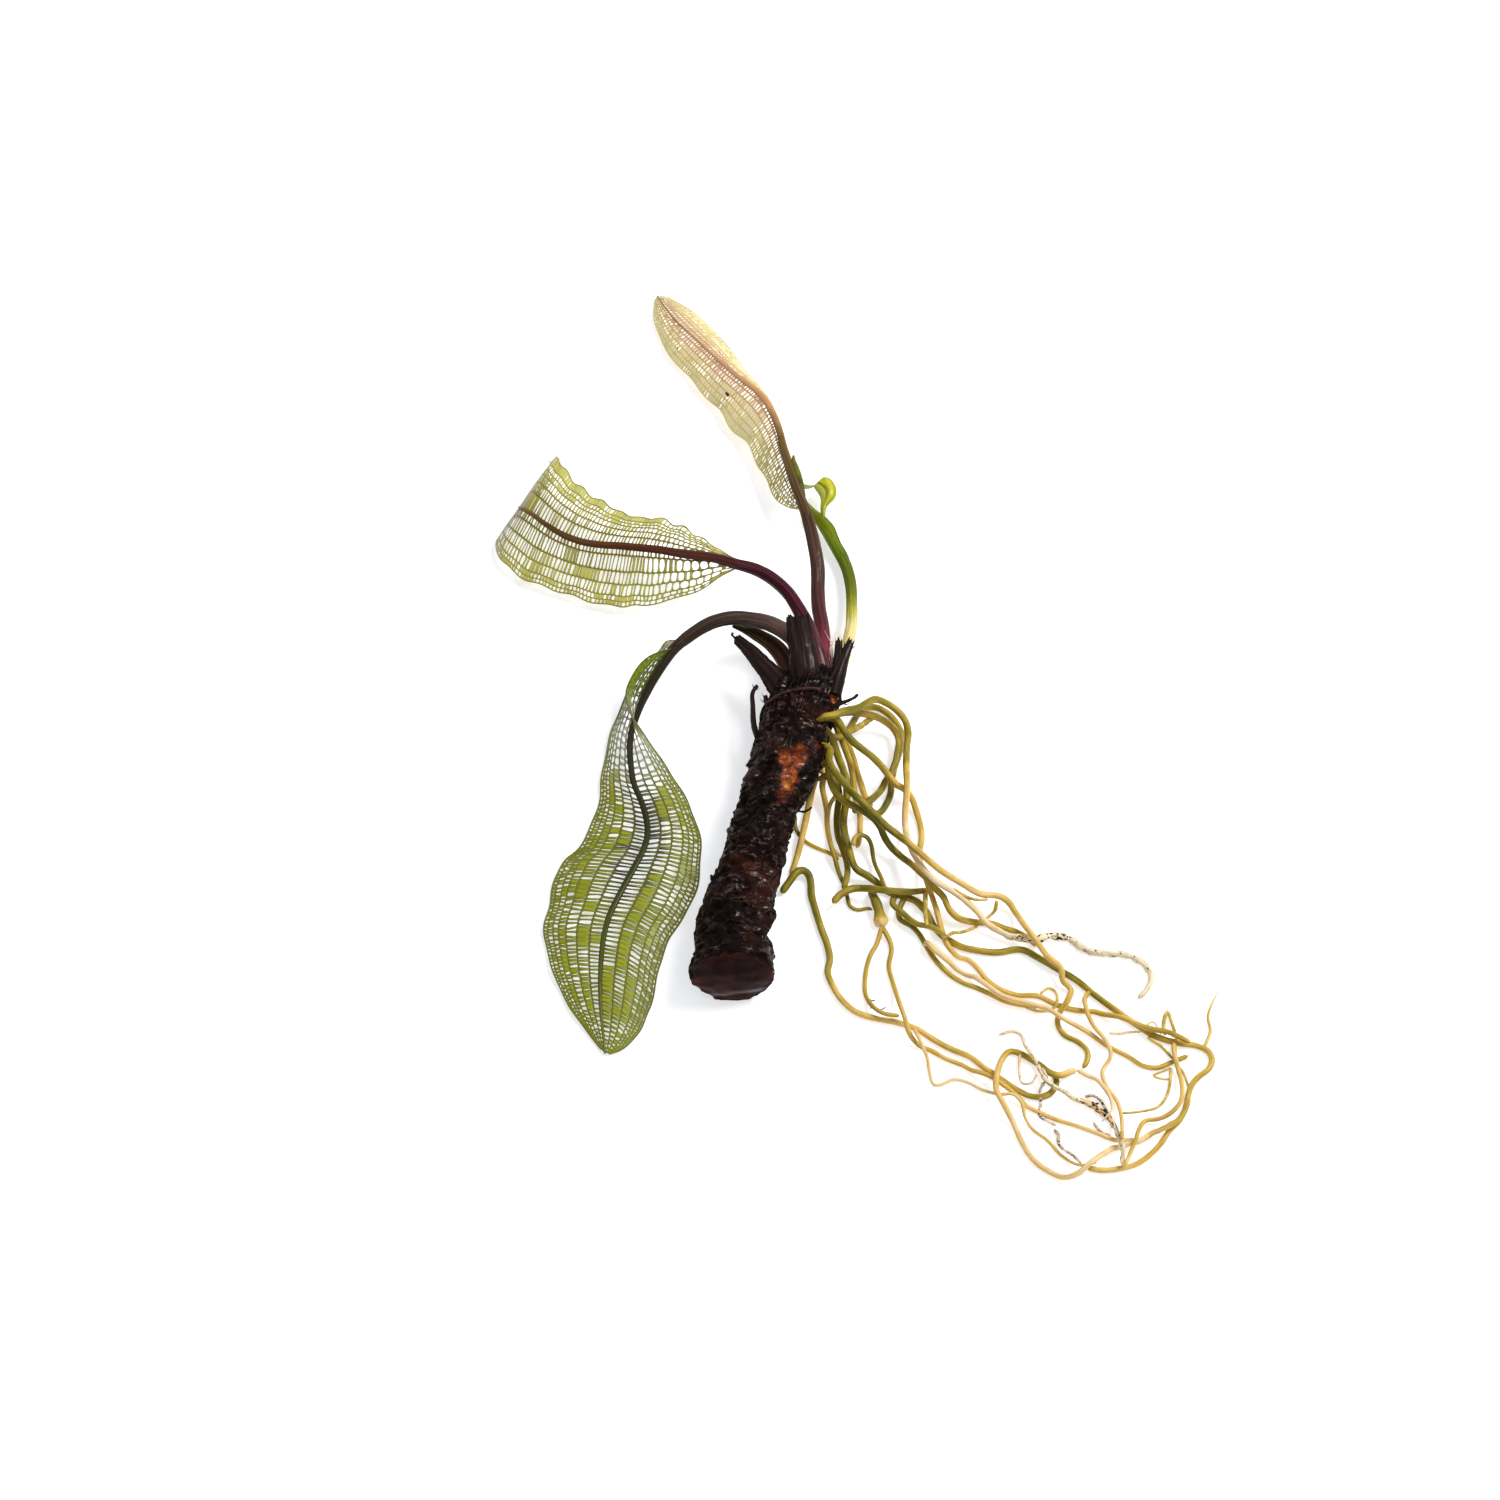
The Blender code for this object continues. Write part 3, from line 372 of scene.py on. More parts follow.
# Crumbs: small curled flakes scattered over a surface
crumbGroup, crumbTree, crumbIn = growthTree("crumbs", [
    ("Material", "NodeSocketMaterial", None), ("Density", "NodeSocketFloat", 1e6), ("Seed", "NodeSocketInt", 3),
    ("Smallest", "NodeSocketVector", (0.5, 0.5, 0.5)), ("Largest", "NodeSocketVector", (1, 1, 1)),
    ("Flake", "NodeSocketObject", None)])
points = crumbTree.add("GeometryNodeDistributePointsOnFaces", {}, {
    "Mesh": crumbIn["Geometry"], "Density": crumbIn["Density"] * named(crumbTree, "crumbs"), "Seed": crumbIn["Seed"]})
turn = crumbTree.add("FunctionNodeRandomValue", {"data_type": "FLOAT_VECTOR"}, {
    0: (-0.16, -0.3, -0.6), 1: (0.16, 0.3, 0.6), "Seed": 5})
laid = crumbTree.add("FunctionNodeAlignRotationToVector", {"axis": "Y", "pivot_axis": "Z"}, {
    "Rotation": points.output("Rotation"), "Vector": named(crumbTree, "around", "FLOAT_VECTOR")})
size = crumbTree.add("FunctionNodeRandomValue", {"data_type": "FLOAT_VECTOR"}, {
    0: crumbIn["Smallest"], 1: crumbIn["Largest"], "Seed": 8})
spun = crumbTree.add("FunctionNodeRotateRotation", {"rotation_space": "LOCAL"}, {
    0: laid, 1: crumbTree.add("FunctionNodeEulerToRotation", {}, {0: turn})})
flakeShape = crumbTree.add("GeometryNodeObjectInfo", {}, {"Object": crumbIn["Flake"]}, "Geometry")
scattered = crumbTree.add("GeometryNodeInstanceOnPoints", {}, {
    "Points": points, "Instance": flakeShape, "Rotation": spun, "Scale": size})
endTree(crumbTree, scattered, crumbIn["Material"])
print("trees ready")


# finishes
def rootFinish():
    finish = Finish("root_skin", Specular_IOR_Level=0.15, Coat_Roughness=0.25)
    tree = finish.tree
    place = tree.attribute("skin", "Vector")
    blotch = tree.grain(tree.stretched(place, 0.7, 0.7, 0.16), 1.0, 4.0, 0.6)
    streak = tree.grain(tree.stretched(place, 2.4, 2.4, 0.3), 1.0, 4.0, 0.6)
    fine = tree.grain(tree.stretched(place, 4.0, 4.0, 2.6), 1.0, 3.0)
    age = tree.attribute("age") + 0.09 + (blotch - 0.5) * 0.8 + (streak - 0.5) * 0.24
    hue = tree.ramp(
        age, (0.0, shade(78, 80, 12)), (0.14, shade(110, 104, 22)), (0.28, shade(154, 134, 40)),
        (0.44, shade(200, 166, 70)), (0.6, shade(228, 190, 108)), (0.8, shade(240, 208, 152)),
        (1.0, shade(238, 222, 188)),
    )
    brown = (streak.between(0.5, 0.72) * 0.45 + fine.between(0.6, 0.72) * 0.25).clamped()
    hue = tree.mix(brown, hue, shade(126, 84, 34), "MULTIPLY")
    rot = tree.attribute("rot")
    dots = tree.grain(tree.stretched(place, 1.0, 1.0, 0.5), 1.7, 2.0).between(0.735, 0.76)
    specks = tree.grain(tree.stretched(place, 0.9, 0.9, 0.62), 1.3, 3.0, 0.6, 0.8)
    dark = ((specks + (rot - 1) * 0.22).between(0.575, 0.62) * (rot > 0.05) + dots * 0.7).clamped()
    hue = tree.mix(dark, hue, shade(22, 16, 14))
    rough = 0.36 + 0.25 * rot + (fine - 0.5) * 0.2
    finish.link(Base_Color=hue, Roughness=rough, Coat_Weight=streak.between(0.5, 0.7) * 0.3)
    relief = streak * 0.5 + blotch * 0.5 + fine * 0.15
    return finish.bump(relief, 0.45, 0.0004)


def barkFinish():
    finish = Finish("bark", Specular_IOR_Level=0.02, Coat_Roughness=0.24)
    tree = finish.tree
    place = tree.add("ShaderNodeTexCoord", out="Object")
    lumps = tree.grain(place, 260.0, 5.0, 0.62, 0.4)
    flakes = tree.grain(tree.stretched(place, 0.55, 1.6, 1.0), 560.0, 5.0, 0.62, 1.0)
    fine = tree.grain(tree.stretched(place, 0.6, 1.4, 1.0), 2200.0, 3.0)
    dark = tree.ramp(flakes, (0.32, shade(9, 6, 5)), (0.48, shade(20, 12, 10)), (0.6, shade(34, 21, 18)),
                     (0.74, shade(60, 42, 37)))
    dark = tree.mix(tree.grain(place, 120.0, 3.0).between(0.5, 0.66) * 0.45, dark, shade(66, 34, 26))
    mottle = (lumps - 0.5) * 1.5 + (flakes - 0.5) * 0.9 + (fine - 0.5) * 0.3 - 0.12
    bare = tree.attribute("bare") + mottle
    flesh = tree.ramp(bare, (0.3, shade(34, 12, 7)), (0.5, shade(82, 32, 14)), (0.7, shade(126, 58, 22)),
                      (0.92, shade(164, 92, 36)), (1.0, shade(206, 144, 70)))
    hue = tree.mix(bare.between(0.28, 0.5) * (tree.attribute("bare") > 0.02), dark, flesh)
    brown = (tree.attribute("brown") * flakes.between(0.5, 0.66)).clamped()
    hue = tree.mix(brown, hue, shade(92, 54, 42))
    cut = tree.attribute("cut")
    face = tree.ramp(tree.grain(place, 170.0, 4.0, 0.6), (0.36, shade(28, 13, 12)), (0.52, shade(50, 24, 20)),
                     (0.7, shade(82, 44, 37)))
    # painted reflection: the band along the fold of the cut face is painted a pale grey-lilac
    face = tree.mix(tree.attribute("sheen") * 0.75, face, shade(92, 80, 86))
    hue = tree.mix(cut, hue, face)
    rough = 0.36 + (fine - 0.5) * 0.3
    glints = flakes.between(0.52, 0.66) * 0.65 * (1 - cut) + tree.attribute("sheen") * 0.2
    glints = (glints + tree.attribute("bare") * 0.2).clamped()
    finish.link(Base_Color=hue, Roughness=rough.clamped(), Coat_Weight=glints)
    relief = (flakes * 0.6 + fine * 0.1 + lumps * 0.5) * (1 - 0.8 * cut)
    return finish.bump(relief, 0.6, 0.0009)


def stalkFinish(name, along, streak, streakShare=0.45, rough=0.32, wet=0.25):
    # colour runs along the stalk, with fine darker or paler streaks; on the hood, painted shade darkens its crease and
    # painted light makes one flank paler
    finish = Finish(name, Specular_IOR_Level=0.05, Coat_Roughness=0.12)
    tree = finish.tree
    place = tree.attribute("skin", "Vector")
    fibres = tree.grain(tree.stretched(place, 3.4, 3.4, 0.06), 1.0, 5.0, 0.6)
    mottle = tree.grain(tree.stretched(place, 1.0, 1.0, 0.3), 1.0, 4.0)
    hue = tree.ramp(tree.attribute("share") + (mottle - 0.5) * 0.12, *along)
    hue = tree.mix(fibres.between(0.48, 0.68) * streakShare, hue, streak)
    hue = tree.mix((0.5 - fibres).between(0.0, 0.2) * 0.6, hue, shade(14, 8, 8))
    # painted shade: the hood's crease is painted dark olive
    hue = tree.mix(tree.attribute("crease") * 0.75, hue, shade(96, 92, 8))
    # painted light: the hood's flank beside the crease is painted paler
    hue = tree.mix(tree.attribute("flank") * 0.7, hue, shade(168, 176, 92))
    finish.link(Base_Color=hue, Roughness=rough + (mottle - 0.5) * 0.25, Coat_Weight=fibres.between(0.45, 0.65) * wet)
    return finish.bump(fibres, 0.55, 0.0005)


def laceFinish(name, look):
    finish = Finish(name, Specular_IOR_Level=0.25, Coat_Weight=0.12, Coat_Roughness=0.2)
    tree = finish.tree
    place = tree.add("ShaderNodeTexCoord", out="Object")
    patch = tree.grain(place, 150.0, 3.0)
    fine = tree.grain(place, 1500.0, 3.0)
    tint = tree.attribute("tint")
    toward = tree.attribute("out") + (tint - 0.5) * 0.3
    tissueHue = tree.mix((tint * 0.45 + patch.between(0.38, 0.62) * 0.55).clamped(), look["tissue"], look["tissueToo"])
    tissueHue = tree.mix(tree.attribute("green"), tissueHue, look["fresh"])
    veinHue = tree.mix(toward.between(*look["veinTurn"]), look["inner"], look["outer"])
    veinHue = tree.mix(tree.attribute("green") * 0.7, veinHue, look["freshVein"])
    hue = tree.mix(tree.attribute("tissue"), veinHue, tissueHue)
    # mixes in the pale colour; on the left leaf's curled end this is a painted sheen
    hue = tree.mix(tree.attribute("pale"), hue, look["pale"])
    hue = tree.mix((fine - 0.5).clamped() * 0.5, hue, look["tissueToo"])
    finish.link(Base_Color=hue, Roughness=0.42 + (fine - 0.5) * 0.2)
    return finish.bump(fine, 0.25, 0.0003)


def ribFinish(name, inner, outer, pale):
    finish = Finish(name, Roughness=0.42, Specular_IOR_Level=0.25, Coat_Weight=0.1, Coat_Roughness=0.2)
    tree = finish.tree
    fine = tree.grain(tree.add("ShaderNodeTexCoord", out="Object"), 900.0, 3.0)
    hue = tree.mix((tree.attribute("out") + (fine - 0.5) * 0.6).between(0.1, 0.95), inner, outer)
    # mixes in the pale colour; on the left leaf's curled end this is a painted sheen
    hue = tree.mix(tree.attribute("pale") * 0.8, hue, pale)
    finish.link(Base_Color=hue)
    return finish.bump(fine, 0.3, 0.0003)


# the rhizome: left, right and top at places along it
rhizome = {
    "stations": [
        (-31.0, -16.3, 1.0, 17.4), (-27.0, -15.7, 0.8, 17.0), (-22.0, -15.2, -0.7, 15.6),
        (-17.0, -14.4, 0.6, 15.6), (-12.0, -12.7, 1.1, 15.2), (-6.0, -10.9, 2.4, 15.0), (0.0, -9.0, 3.6, 14.8),
        (6.0, -7.5, 4.8, 14.8), (11.0, -6.4, 7.4, 15.0), (15.0, -5.4, 9.6, 15.2), (20.0, -3.6, 11.4, 15.6),
        (26.0, -2.8, 12.3, 15.8), (31.0, -1.4, 13.9, 15.8), (35.0, 0.7, 14.8, 15.6), (38.0, 2.7, 14.6, 14.6),
    ],
    "cutLean": 1.8, "sag": 0.8, "lump": 0.8, "lumpLength": 4.5, "scarPitch": 5.2, "scarDepth": 0.45,
    "sides": 220, "rowStep": 0.22, "wrinkle": 0.72, "flake": 0.11, "pinch": 0.26, "crownRows": 26, "crownRise": 1.7,
    # the cut face, how deep bare flesh lies, above what height bark is bare or brown, and where it has flakes
    "faceRows": 30, "faceReach": 8.7, "faceBulge": 1.5, "foldDepth": 0.7, "bareDepth": 0.55,
    "bareAbove": 5, "flakesAbove": 0.8, "flakesUntil": 24,
    # bare flesh, and a brown fibrous place: x, y on the crown plane, their reach, and how strong
    "bare": [
        (4.6, 19.0, 3.4, 3.2, 0.86), (6.4, 20.2, 2.2, 2.6, 0.8), (4.2, 14.2, 2.4, 3.4, 0.84),
        (2.6, 9.6, 1.7, 2.6, 0.6), (8.2, 22.6, 2.8, 2.6, 0.5), (7.8, 26.2, 1.6, 1.4, 0.4),
        (1.2, 7.6, 0.9, 1.8, 0.5), (13.8, 33.4, 1.0, 2.0, 0.85)],
    "brown": [
        (-4.0, -5.0, 5.0, 3.2, 1.0), (-1.0, -8.0, 3.5, 2.5, 0.5), (-6.0, -14.0, 5.5, 2.2, 0.5),
        (5.0, 31.0, 5.0, 5.0, 0.35)],
}


def blobs(spots, x, y):
    # how far each place is inside soft-edged spots
    found = np.zeros(x.shape)
    for cx, cy, rx, ry, strength in spots:
        away = np.sqrt(((x - cx) / rx) ** 2 + ((y - cy) / ry) ** 2)
        found = np.maximum(found, strength * ease(1.45 - 0.9 * away))
    return found


def buildRhizome():
    look = rhizome
    table = np.array(look["stations"])
    cutY, crownY = table[0, 0], table[-1, 0]
    sides = look["sides"]
    angles = 2 * math.pi * (np.arange(sides) + 0.5) / sides
    ys = np.arange(cutY, crownY, look["rowStep"])

    def ring(y, inset=0.0, lower=1.0):
        left, right, top = (np.interp(y, table[:, 0], table[:, i]) for i in (1, 2, 3))
        left, right, top = left + inset, right - inset, top * lower
        halfWidth, halfHeight = (right - left) / 2, top / (1 + look["sag"])
        middle = (left + right) / 2 - middleX
        scar = look["scarDepth"] * (1 - abs(math.sin(math.pi * y / look["scarPitch"])) ** 0.6)
        found = np.zeros((sides, 3))
        fibrous = float(ease((y - 22) / 10))
        for i, angle in enumerate(angles):
            c, s = math.cos(angle), math.sin(angle)
            out = look["lump"] * grain(2.2 * c, y / look["lumpLength"], 2.2 * s) - scar
            bend = grain(2 * c, y / 5, 2 * s + 8)
            ridge = abs(grain(1.7 * c + 9, y / 2.5 + 2.4 * bend, 1.7 * s))
            crest = abs(grain(3.6 * c + 3, y / 1.2 + 3.2 * bend, 3.6 * s + 5))
            out += look["wrinkle"] * (1 - fibrous) * (0.6 - 2.2 * ridge - 0.45 * crest)
            knob = grain(6 * c, y / 1.7 + 40, 6 * s)
            out += look["flake"] * 2.2 * knob * abs(knob) * 3
            out += look["flake"] * 0.7 * grain(13 * c, y / 0.7, 13 * s)
            out += fibrous * (0.9 * abs(grain(9 * c, y / 11, 9 * s) * 2) + 0.3 * grain(26 * c, y / 7, 26 * s) - 0.45)
            z = halfHeight * look["sag"] + (halfHeight + out) * s
            found[i] = middle + (halfWidth + out) * c, y, z
        return found

    rows = [ring(y) for y in ys]
    lean = look["cutLean"] * ease((cutY + 3.5 - ys) / 3.5)
    for row, amount in zip(rows, lean):
        row[:, 1] -= amount * (1 - row[:, 2] / table[0, 3])
        # the lower corners of the cut end are rounded off
        low = ease(1 - row[:, 2] / 8) * amount / look["cutLean"]
        row[:, 0] -= (row[:, 0] - row[:, 0].mean()) * look["pinch"] * low
    width = table[-1, 2] - table[-1, 1]
    for share in np.linspace(1, 0.06, look["crownRows"]):
        rise = look["crownRise"] * math.sqrt(max(0.0, 1 - share**2)) * 1.05
        row = ring(crownY, (1 - share) * width / 2, 0.55 + 0.45 * share)
        row[:, 1] += rise + 0.5 * np.array([abs(grain(8 * math.cos(a), share * 3, 8 * math.sin(a))) for a in angles])
        rows.append(row)
    cutShare = [1.0] * look["faceRows"] + [0.55, 0.25] + [0.0] * (len(rows) - 2)
    face = []
    outer = rows[0]
    centre = outer.mean(0)
    calm = sum(np.roll(outer, turn, 0) for turn in range(-14, 15)) / 29

    def aboveFold(points):
        # how far above the fold of the cut face each place is
        across, high = ((points[..., axis] - centre[axis]) / look["faceReach"] for axis in (0, 2))
        return high + 0.42 + 0.5 * across**2 - 0.32 * across

    for share in np.linspace(0.03, 0.985, look["faceRows"]):
        row = centre + (calm + (outer - calm) * share**8 - centre) * share
        bulge = look["faceBulge"] * (1 - share**2)
        row[:, 1] -= bulge - look["foldDepth"] * ease((0.08 - aboveFold(row)) / 0.3) * (1 - share**4)
        row[:, 1] += [0.25 * grain(p[0] / 2.5, p[2] / 2.5, 3) for p in row]
        face.append(row)
    grid = np.array(face + rows)
    grid[..., 2] = np.clip(grid[..., 2], lowest, highest)
    x, y = grid[..., 0] + middleX, grid[..., 1] + (grid[..., 2] - crownPlane) * lookBack
    top = (grid[..., 2] > look["bareAbove"]).astype(float)
    bare = blobs(look["bare"], x, y) * top
    cut = np.broadcast_to(np.array(cutShare)[:, None], grid.shape[:2])
    # painted sheen: a band along the fold of the cut face, which the bark finish paints pale grey-lilac as a reflection
    # and gives a little coat
    sheen = ease(1 - np.abs(aboveFold(grid)) / 0.2) * (cut > 0.9)
    noiseHere = np.array([grain(px / 3, pz / 1.2, 7) for px, pz in zip(grid[..., 0].ravel(), grid[..., 2].ravel())])
    sheen = sheen * (0.75 + noiseHere.reshape(sheen.shape))
    # the bare flesh lies a little lower than the bark round it
    inward = np.stack([-np.cos(angles), np.zeros(sides), -np.sin(angles)], -1)
    grid = grid + inward[None] * (look["bareDepth"] * bare * (1 - cut))[..., None]
    flaky = (grid[..., 2] > look["flakesAbove"]) * (grid[..., 1] < look["flakesUntil"])
    crumbs = (1 - cut) * (1 - 0.8 * bare) * flaky
    around = np.stack([-np.sin(angles), np.zeros(sides), np.cos(angles)], -1)[None] * np.ones(grid.shape)
    around[grid[..., 1] > look["flakesUntil"]] = (0, 1, 0)
    mesh = skin("rhizome_bark", grid, {"bare": bare, "brown": blobs(look["brown"], x, y) * top, "cut": cut,
                                       "sheen": np.clip(sheen, 0, 1), "crumbs": crumbs, "around": around})
    piece("rhizome_bark", mesh, bark, "bark", "rhizome")
    return mesh


bark = barkFinish()
barkMesh = buildRhizome()
print("rhizome", len(barkMesh.polygons))


# bark flakes
flakes = {"density": 0.028e6, "length": 2.2, "width": 0.6, "seed": 4, "highest": 17.5}


def flakeObject():
    # one small curled flake, a thin closed body
    rows = []
    for t in np.linspace(-1, 1, 5):
        half = flakes["width"] / 2 * math.sqrt(1 - 0.92 * t * t)
        lift = 0.07 * t * t + 0.03 * t
        y = flakes["length"] / 2 * t
        rows.append([(-half, y, lift), (0, y, lift + 0.1), (half, y, lift), (half * 0.7, y, lift - 0.16),
                     (-half * 0.7, y, lift - 0.16)])
    return bpy.data.objects.new("flake", skin("flake", np.array(rows), {}))


def buildFlakes():
    shape = flakeObject()
    mesh = grow("bark_flakes", barkMesh.copy(), crumbGroup, {
        "Material": bark, "Density": flakes["density"], "Seed": flakes["seed"], "Smallest": (0.5, 0.35, 0.5),
        "Largest": (1.5, 1.25, 1.0), "Flake": shape})
    bpy.data.objects.remove(shape)
    coords = np.zeros(len(mesh.vertices) * 3)
    mesh.vertices.foreach_get("co", coords)
    coords = coords.reshape(-1, 3)
    coords[:, 2] = np.clip(coords[:, 2], lowest * mm, flakes["highest"] * mm)
    mesh.vertices.foreach_set("co", coords.ravel())
    mesh.shade_smooth()
    piece("bark_flakes", mesh, bark, "bark")
    print("flakes", len(mesh.polygons))


buildFlakes()


# strands: thin bodies that follow a path
def strands(name, paths, finish, slot, sides, **extra):
    # paths: pairs of points and girths; extra: further attributes, over the points of all paths
    points, edges, girth = [], [], []
    for path, thick in paths:
        first = len(points)
        points += list(path)
        edges += [(first + i, first + i + 1) for i in range(len(path) - 1)]
        girth += list(thick * mm)
    base = plainMesh(name, points, [], edges, {"girth": girth, **extra})
    piece(name, grow(name, base, ribGroup, {"Material": finish, "Sides": sides}), finish, slot)


# stubs, spurs and stalks
stubs = [
    # name, route on the crown plane, half-widths, half-heights, sides
    ("stub_left", [(4.0, 33.0, 10.0), (1.0, 37.6, 11.0), (-2.2, 41.8, 11.6), (-5.0, 45.4, 12.0), (-6.9, 47.3, 12.2)],
     (3.1, 2.7, 2.0, 1.6, 1.1), (2.2, 1.8, 1.4, 1.1, 0.8), 40),
    ("stub_centre", [(7.6, 34.0, 11.5), (7.2, 40.0, 14.6), (6.6, 46.0, 15.9), (6.0, 50.6, 16.3), (5.9, 52.4, 16.4)],
     (3.5, 3.2, 2.9, 2.7, 2.4), (1.9, 1.6, 1.1, 0.95, 0.8), 56),
    ("stub_right", [(12.6, 34.0, 10.5), (14.0, 38.6, 11.6), (15.6, 43.4, 12.2), (16.8, 46.4, 12.4)],
     (2.3, 1.9, 1.2, 0.8), (1.6, 1.4, 1.0, 0.6), 36),
    ("stub_right_prong", [(13.4, 37.0, 11.2), (14.2, 42.0, 12.0), (14.4, 46.6, 12.3)],
     (1.0, 1.1, 0.7), (0.9, 0.9, 0.55), 24),
    ("spur_left", [(-2.0, 22.0, 9.5), (-3.3, 26.0, 9.6), (-3.6, 31.0, 9.8), (-3.5, 34.8, 10.0), (-2.7, 36.0, 10.0)],
     (0.7, 0.6, 0.5, 0.4), (0.7, 0.6, 0.5, 0.4), 16),
    ("spur_nub", [(1.0, 30.0, 9.5), (-0.6, 31.8, 9.8), (-1.0, 33.6, 10.0)], (0.9, 0.7, 0.4), (0.8, 0.6, 0.35), 16),
    ("spur_right", [(12.4, 30.6, 10.0), (14.6, 31.7, 10.2), (16.5, 32.5, 10.2)],
     (0.5, 0.5, 0.35), (0.5, 0.5, 0.35), 14),
]
stems = {"step": 0.45, "stalkSides": 36, "tornRows": 5, "tornHollow": 0.8, "stubTeeth": 1.4, "spurTeeth": 0.3}
stalks = [
    # name, plane, route, half-widths, half-heights
    ("stalk_lower", crownPlane, [
        (6.0, 40.0, 8.5), (5.0, 47.5, 9.0), (0.5, 51.0, 10.5), (-4.0, 52.3, 13.0), (-8.0, 52.5, 14.8),
        (-12.0, 51.4, 15.3), (-15.0, 49.6, 14.6), (-17.0, 48.0, 13.7), (-19.4, 45.9, 12.4)],
     (2.0, 1.9, 1.6, 1.5, 1.3), (1.6, 1.5, 1.3, 1.2, 1.0)),
    ("stalk_old", crownPlane, [
        (5.0, 35.0, 5.4), (3.6, 41.5, 5.2), (1.4, 45.4, 5.6), (-1.6, 48.0, 6.6), (-5.0, 49.9, 8.0), (-7.8, 50.8, 9.4)],
     (1.6, 2.0, 1.9, 1.5, 0.5), (1.3, 1.2, 1.1, 0.9, 0.4)),
    ("stalk_left", crownPlane, [
        (10.6, 33.5, 11.0), (10.4, 41.0, 11.6), (9.3, 45.5, 12.2), (7.9, 50.6, 12.6), (5.8, 55.2, 12.8),
        (3.7, 58.9, 12.8), (0.8, 62.1, 12.6), (-3.0, 64.7, 12.2), (-7.1, 66.1, 11.7)],
     (1.9, 1.8, 1.5, 1.4, 1.3), (1.6, 1.5, 1.3, 1.2, 1.1)),
    ("stalk_upper", stalkPlane, [
        (11.4, 34.0, 8.0), (11.6, 41.0, 8.0), (11.2, 46.0, 7.8), (11.0, 52.0, 7.4), (10.4, 57.0, 7.2),
        (10.2, 62.0, 7.2), (10.2, 67.0, 7.6), (9.6, 72.0, 8.2), (8.7, 77.0, 8.8), (8.2, 79.0, 9.0),
        (7.8, 80.8, 9.2)],
     (1.7, 1.6, 1.5, 1.5, 1.3), (1.6, 1.5, 1.4, 1.3, 1.1)),
    ("stalk_young", stalkPlane, [
        (13.2, 34.0, 6.6), (15.2, 43.0, 6.2), (16.4, 48.0, 5.4), (17.3, 53.0, 4.4), (17.5, 58.0, 3.6),
        (17.3, 63.0, 3.0), (16.5, 67.5, 2.6), (15.4, 70.5, 2.5)],
     (1.3, 1.3, 1.2, 1.35), (1.2, 1.15, 1.05, 1.1)),
]
stalkLooks = {
    "old": stalkFinish("old_stalk", [(0.0, shade(22, 14, 12)), (0.5, shade(34, 22, 19)), (1.0, shade(28, 19, 17))],
                       shade(74, 50, 42), 0.35, 0.38, 0.2),
    "stalk_lower": stalkFinish("stalk_brown", [
        (0.0, shade(60, 38, 34)), (0.3, shade(84, 62, 54)), (0.55, shade(62, 46, 42)), (0.8, shade(58, 46, 38)),
        (1.0, shade(54, 44, 32))], shade(120, 94, 82), 0.28),
    "stalk_old": stalkFinish("stalk_rotten", [
        (0.0, shade(90, 52, 38)), (0.45, shade(70, 44, 28)), (0.75, shade(56, 48, 18)), (1.0, shade(36, 28, 18))],
                             shade(140, 96, 70), 0.45),
    "stalk_left": stalkFinish("stalk_maroon", [
        (0.0, shade(84, 42, 34)), (0.35, shade(74, 30, 36)), (0.6, shade(66, 24, 36)), (0.8, shade(56, 16, 26)),
        (1.0, shade(66, 28, 32))], shade(122, 72, 80), 0.3),
    "stalk_upper": stalkFinish("stalk_crimson", [
        (0.0, shade(150, 70, 62)), (0.26, shade(134, 46, 70)), (0.42, shade(88, 42, 50)), (0.65, shade(70, 46, 40)),
        (1.0, shade(74, 54, 36))], shade(112, 82, 70), 0.25),
    "stalk_young": stalkFinish("stalk_green", [
        (0.0, shade(232, 212, 150)), (0.5, shade(232, 214, 142)), (0.6, shade(188, 182, 74)),
        (0.7, shade(116, 122, 30)), (0.82, shade(88, 98, 18)), (1.0, shade(84, 104, 14))], shade(132, 140, 48), 0.26),
}


def ribbed(curve, sides, ribs, depth, ragged=0.0, seed=0.0):
    # lengthwise ribs round a stalk, with a little wandering
    along = distanceAlong(curve)
    relief = np.ones((len(curve), sides))
    for j in range(sides):
        angle = 2 * math.pi * j / sides
        for i, place in enumerate(along):
            wander = 0.5 * grain(place / 9, seed, angle)
            wave = 0.5 + 0.5 * math.cos(ribs * (angle + wander))
            fibre = grain(math.cos(angle) * 4 + seed, math.sin(angle) * 4, place / 5)
            rough = grain(math.cos(angle) * 3 + seed, math.sin(angle) * 3, place / 0.9)
            relief[i, j] += depth * (wave - 0.7) + depth * 0.8 * fibre + ragged * rough
    return relief


def buildStem(name, points, plane, wide, tall, sides, finish, slot, ribs, depth, ragged, replaced, torn=0.0):
    curve = evenly(smooth(seen(points, plane)), stems["step"])
    along = distanceAlong(curve)
    shares = along / along[-1]
    relief = ribbed(curve, sides, ribs, depth, ragged, len(name))
    if not torn:
        relief = relief * (0.93 + 0.07 * ease((along[-1] - along) / 2.5))[:, None]
    mesh = tube(name, curve, spread(wide, shares), spread(tall, shares), sides, relief)
    if torn:
        tearEnd(mesh, curve, sides, torn, len(name))
    piece(name, mesh, finish, slot, *replaced)


def tearEnd(mesh, curve, sides, reach, seed):
    # pulls the last rows out into teeth, and hollows the end
    tangent = curve[-1] - curve[-4]
    tangent /= np.linalg.norm(tangent)
    for back in range(stems["tornRows"]):
        row = len(curve) - 1 - back
        for j in range(sides):
            angle = 2 * math.pi * j / sides
            tooth = abs(grain(math.cos(angle) * 3.5 + seed, math.sin(angle) * 3.5, 2)) * 2 - 0.25
            vertex = mesh.vertices[row * sides + j]
            vertex.co += Vector(tangent) * reach * tooth * (1 - back / stems["tornRows"]) * mm
            vertex.co.z = min(max(vertex.co.z, lowest * mm), highest * mm)
    middle = mesh.vertices[len(curve) * sides + 1]
    middle.co -= Vector(tangent) * stems["tornHollow"] * mm


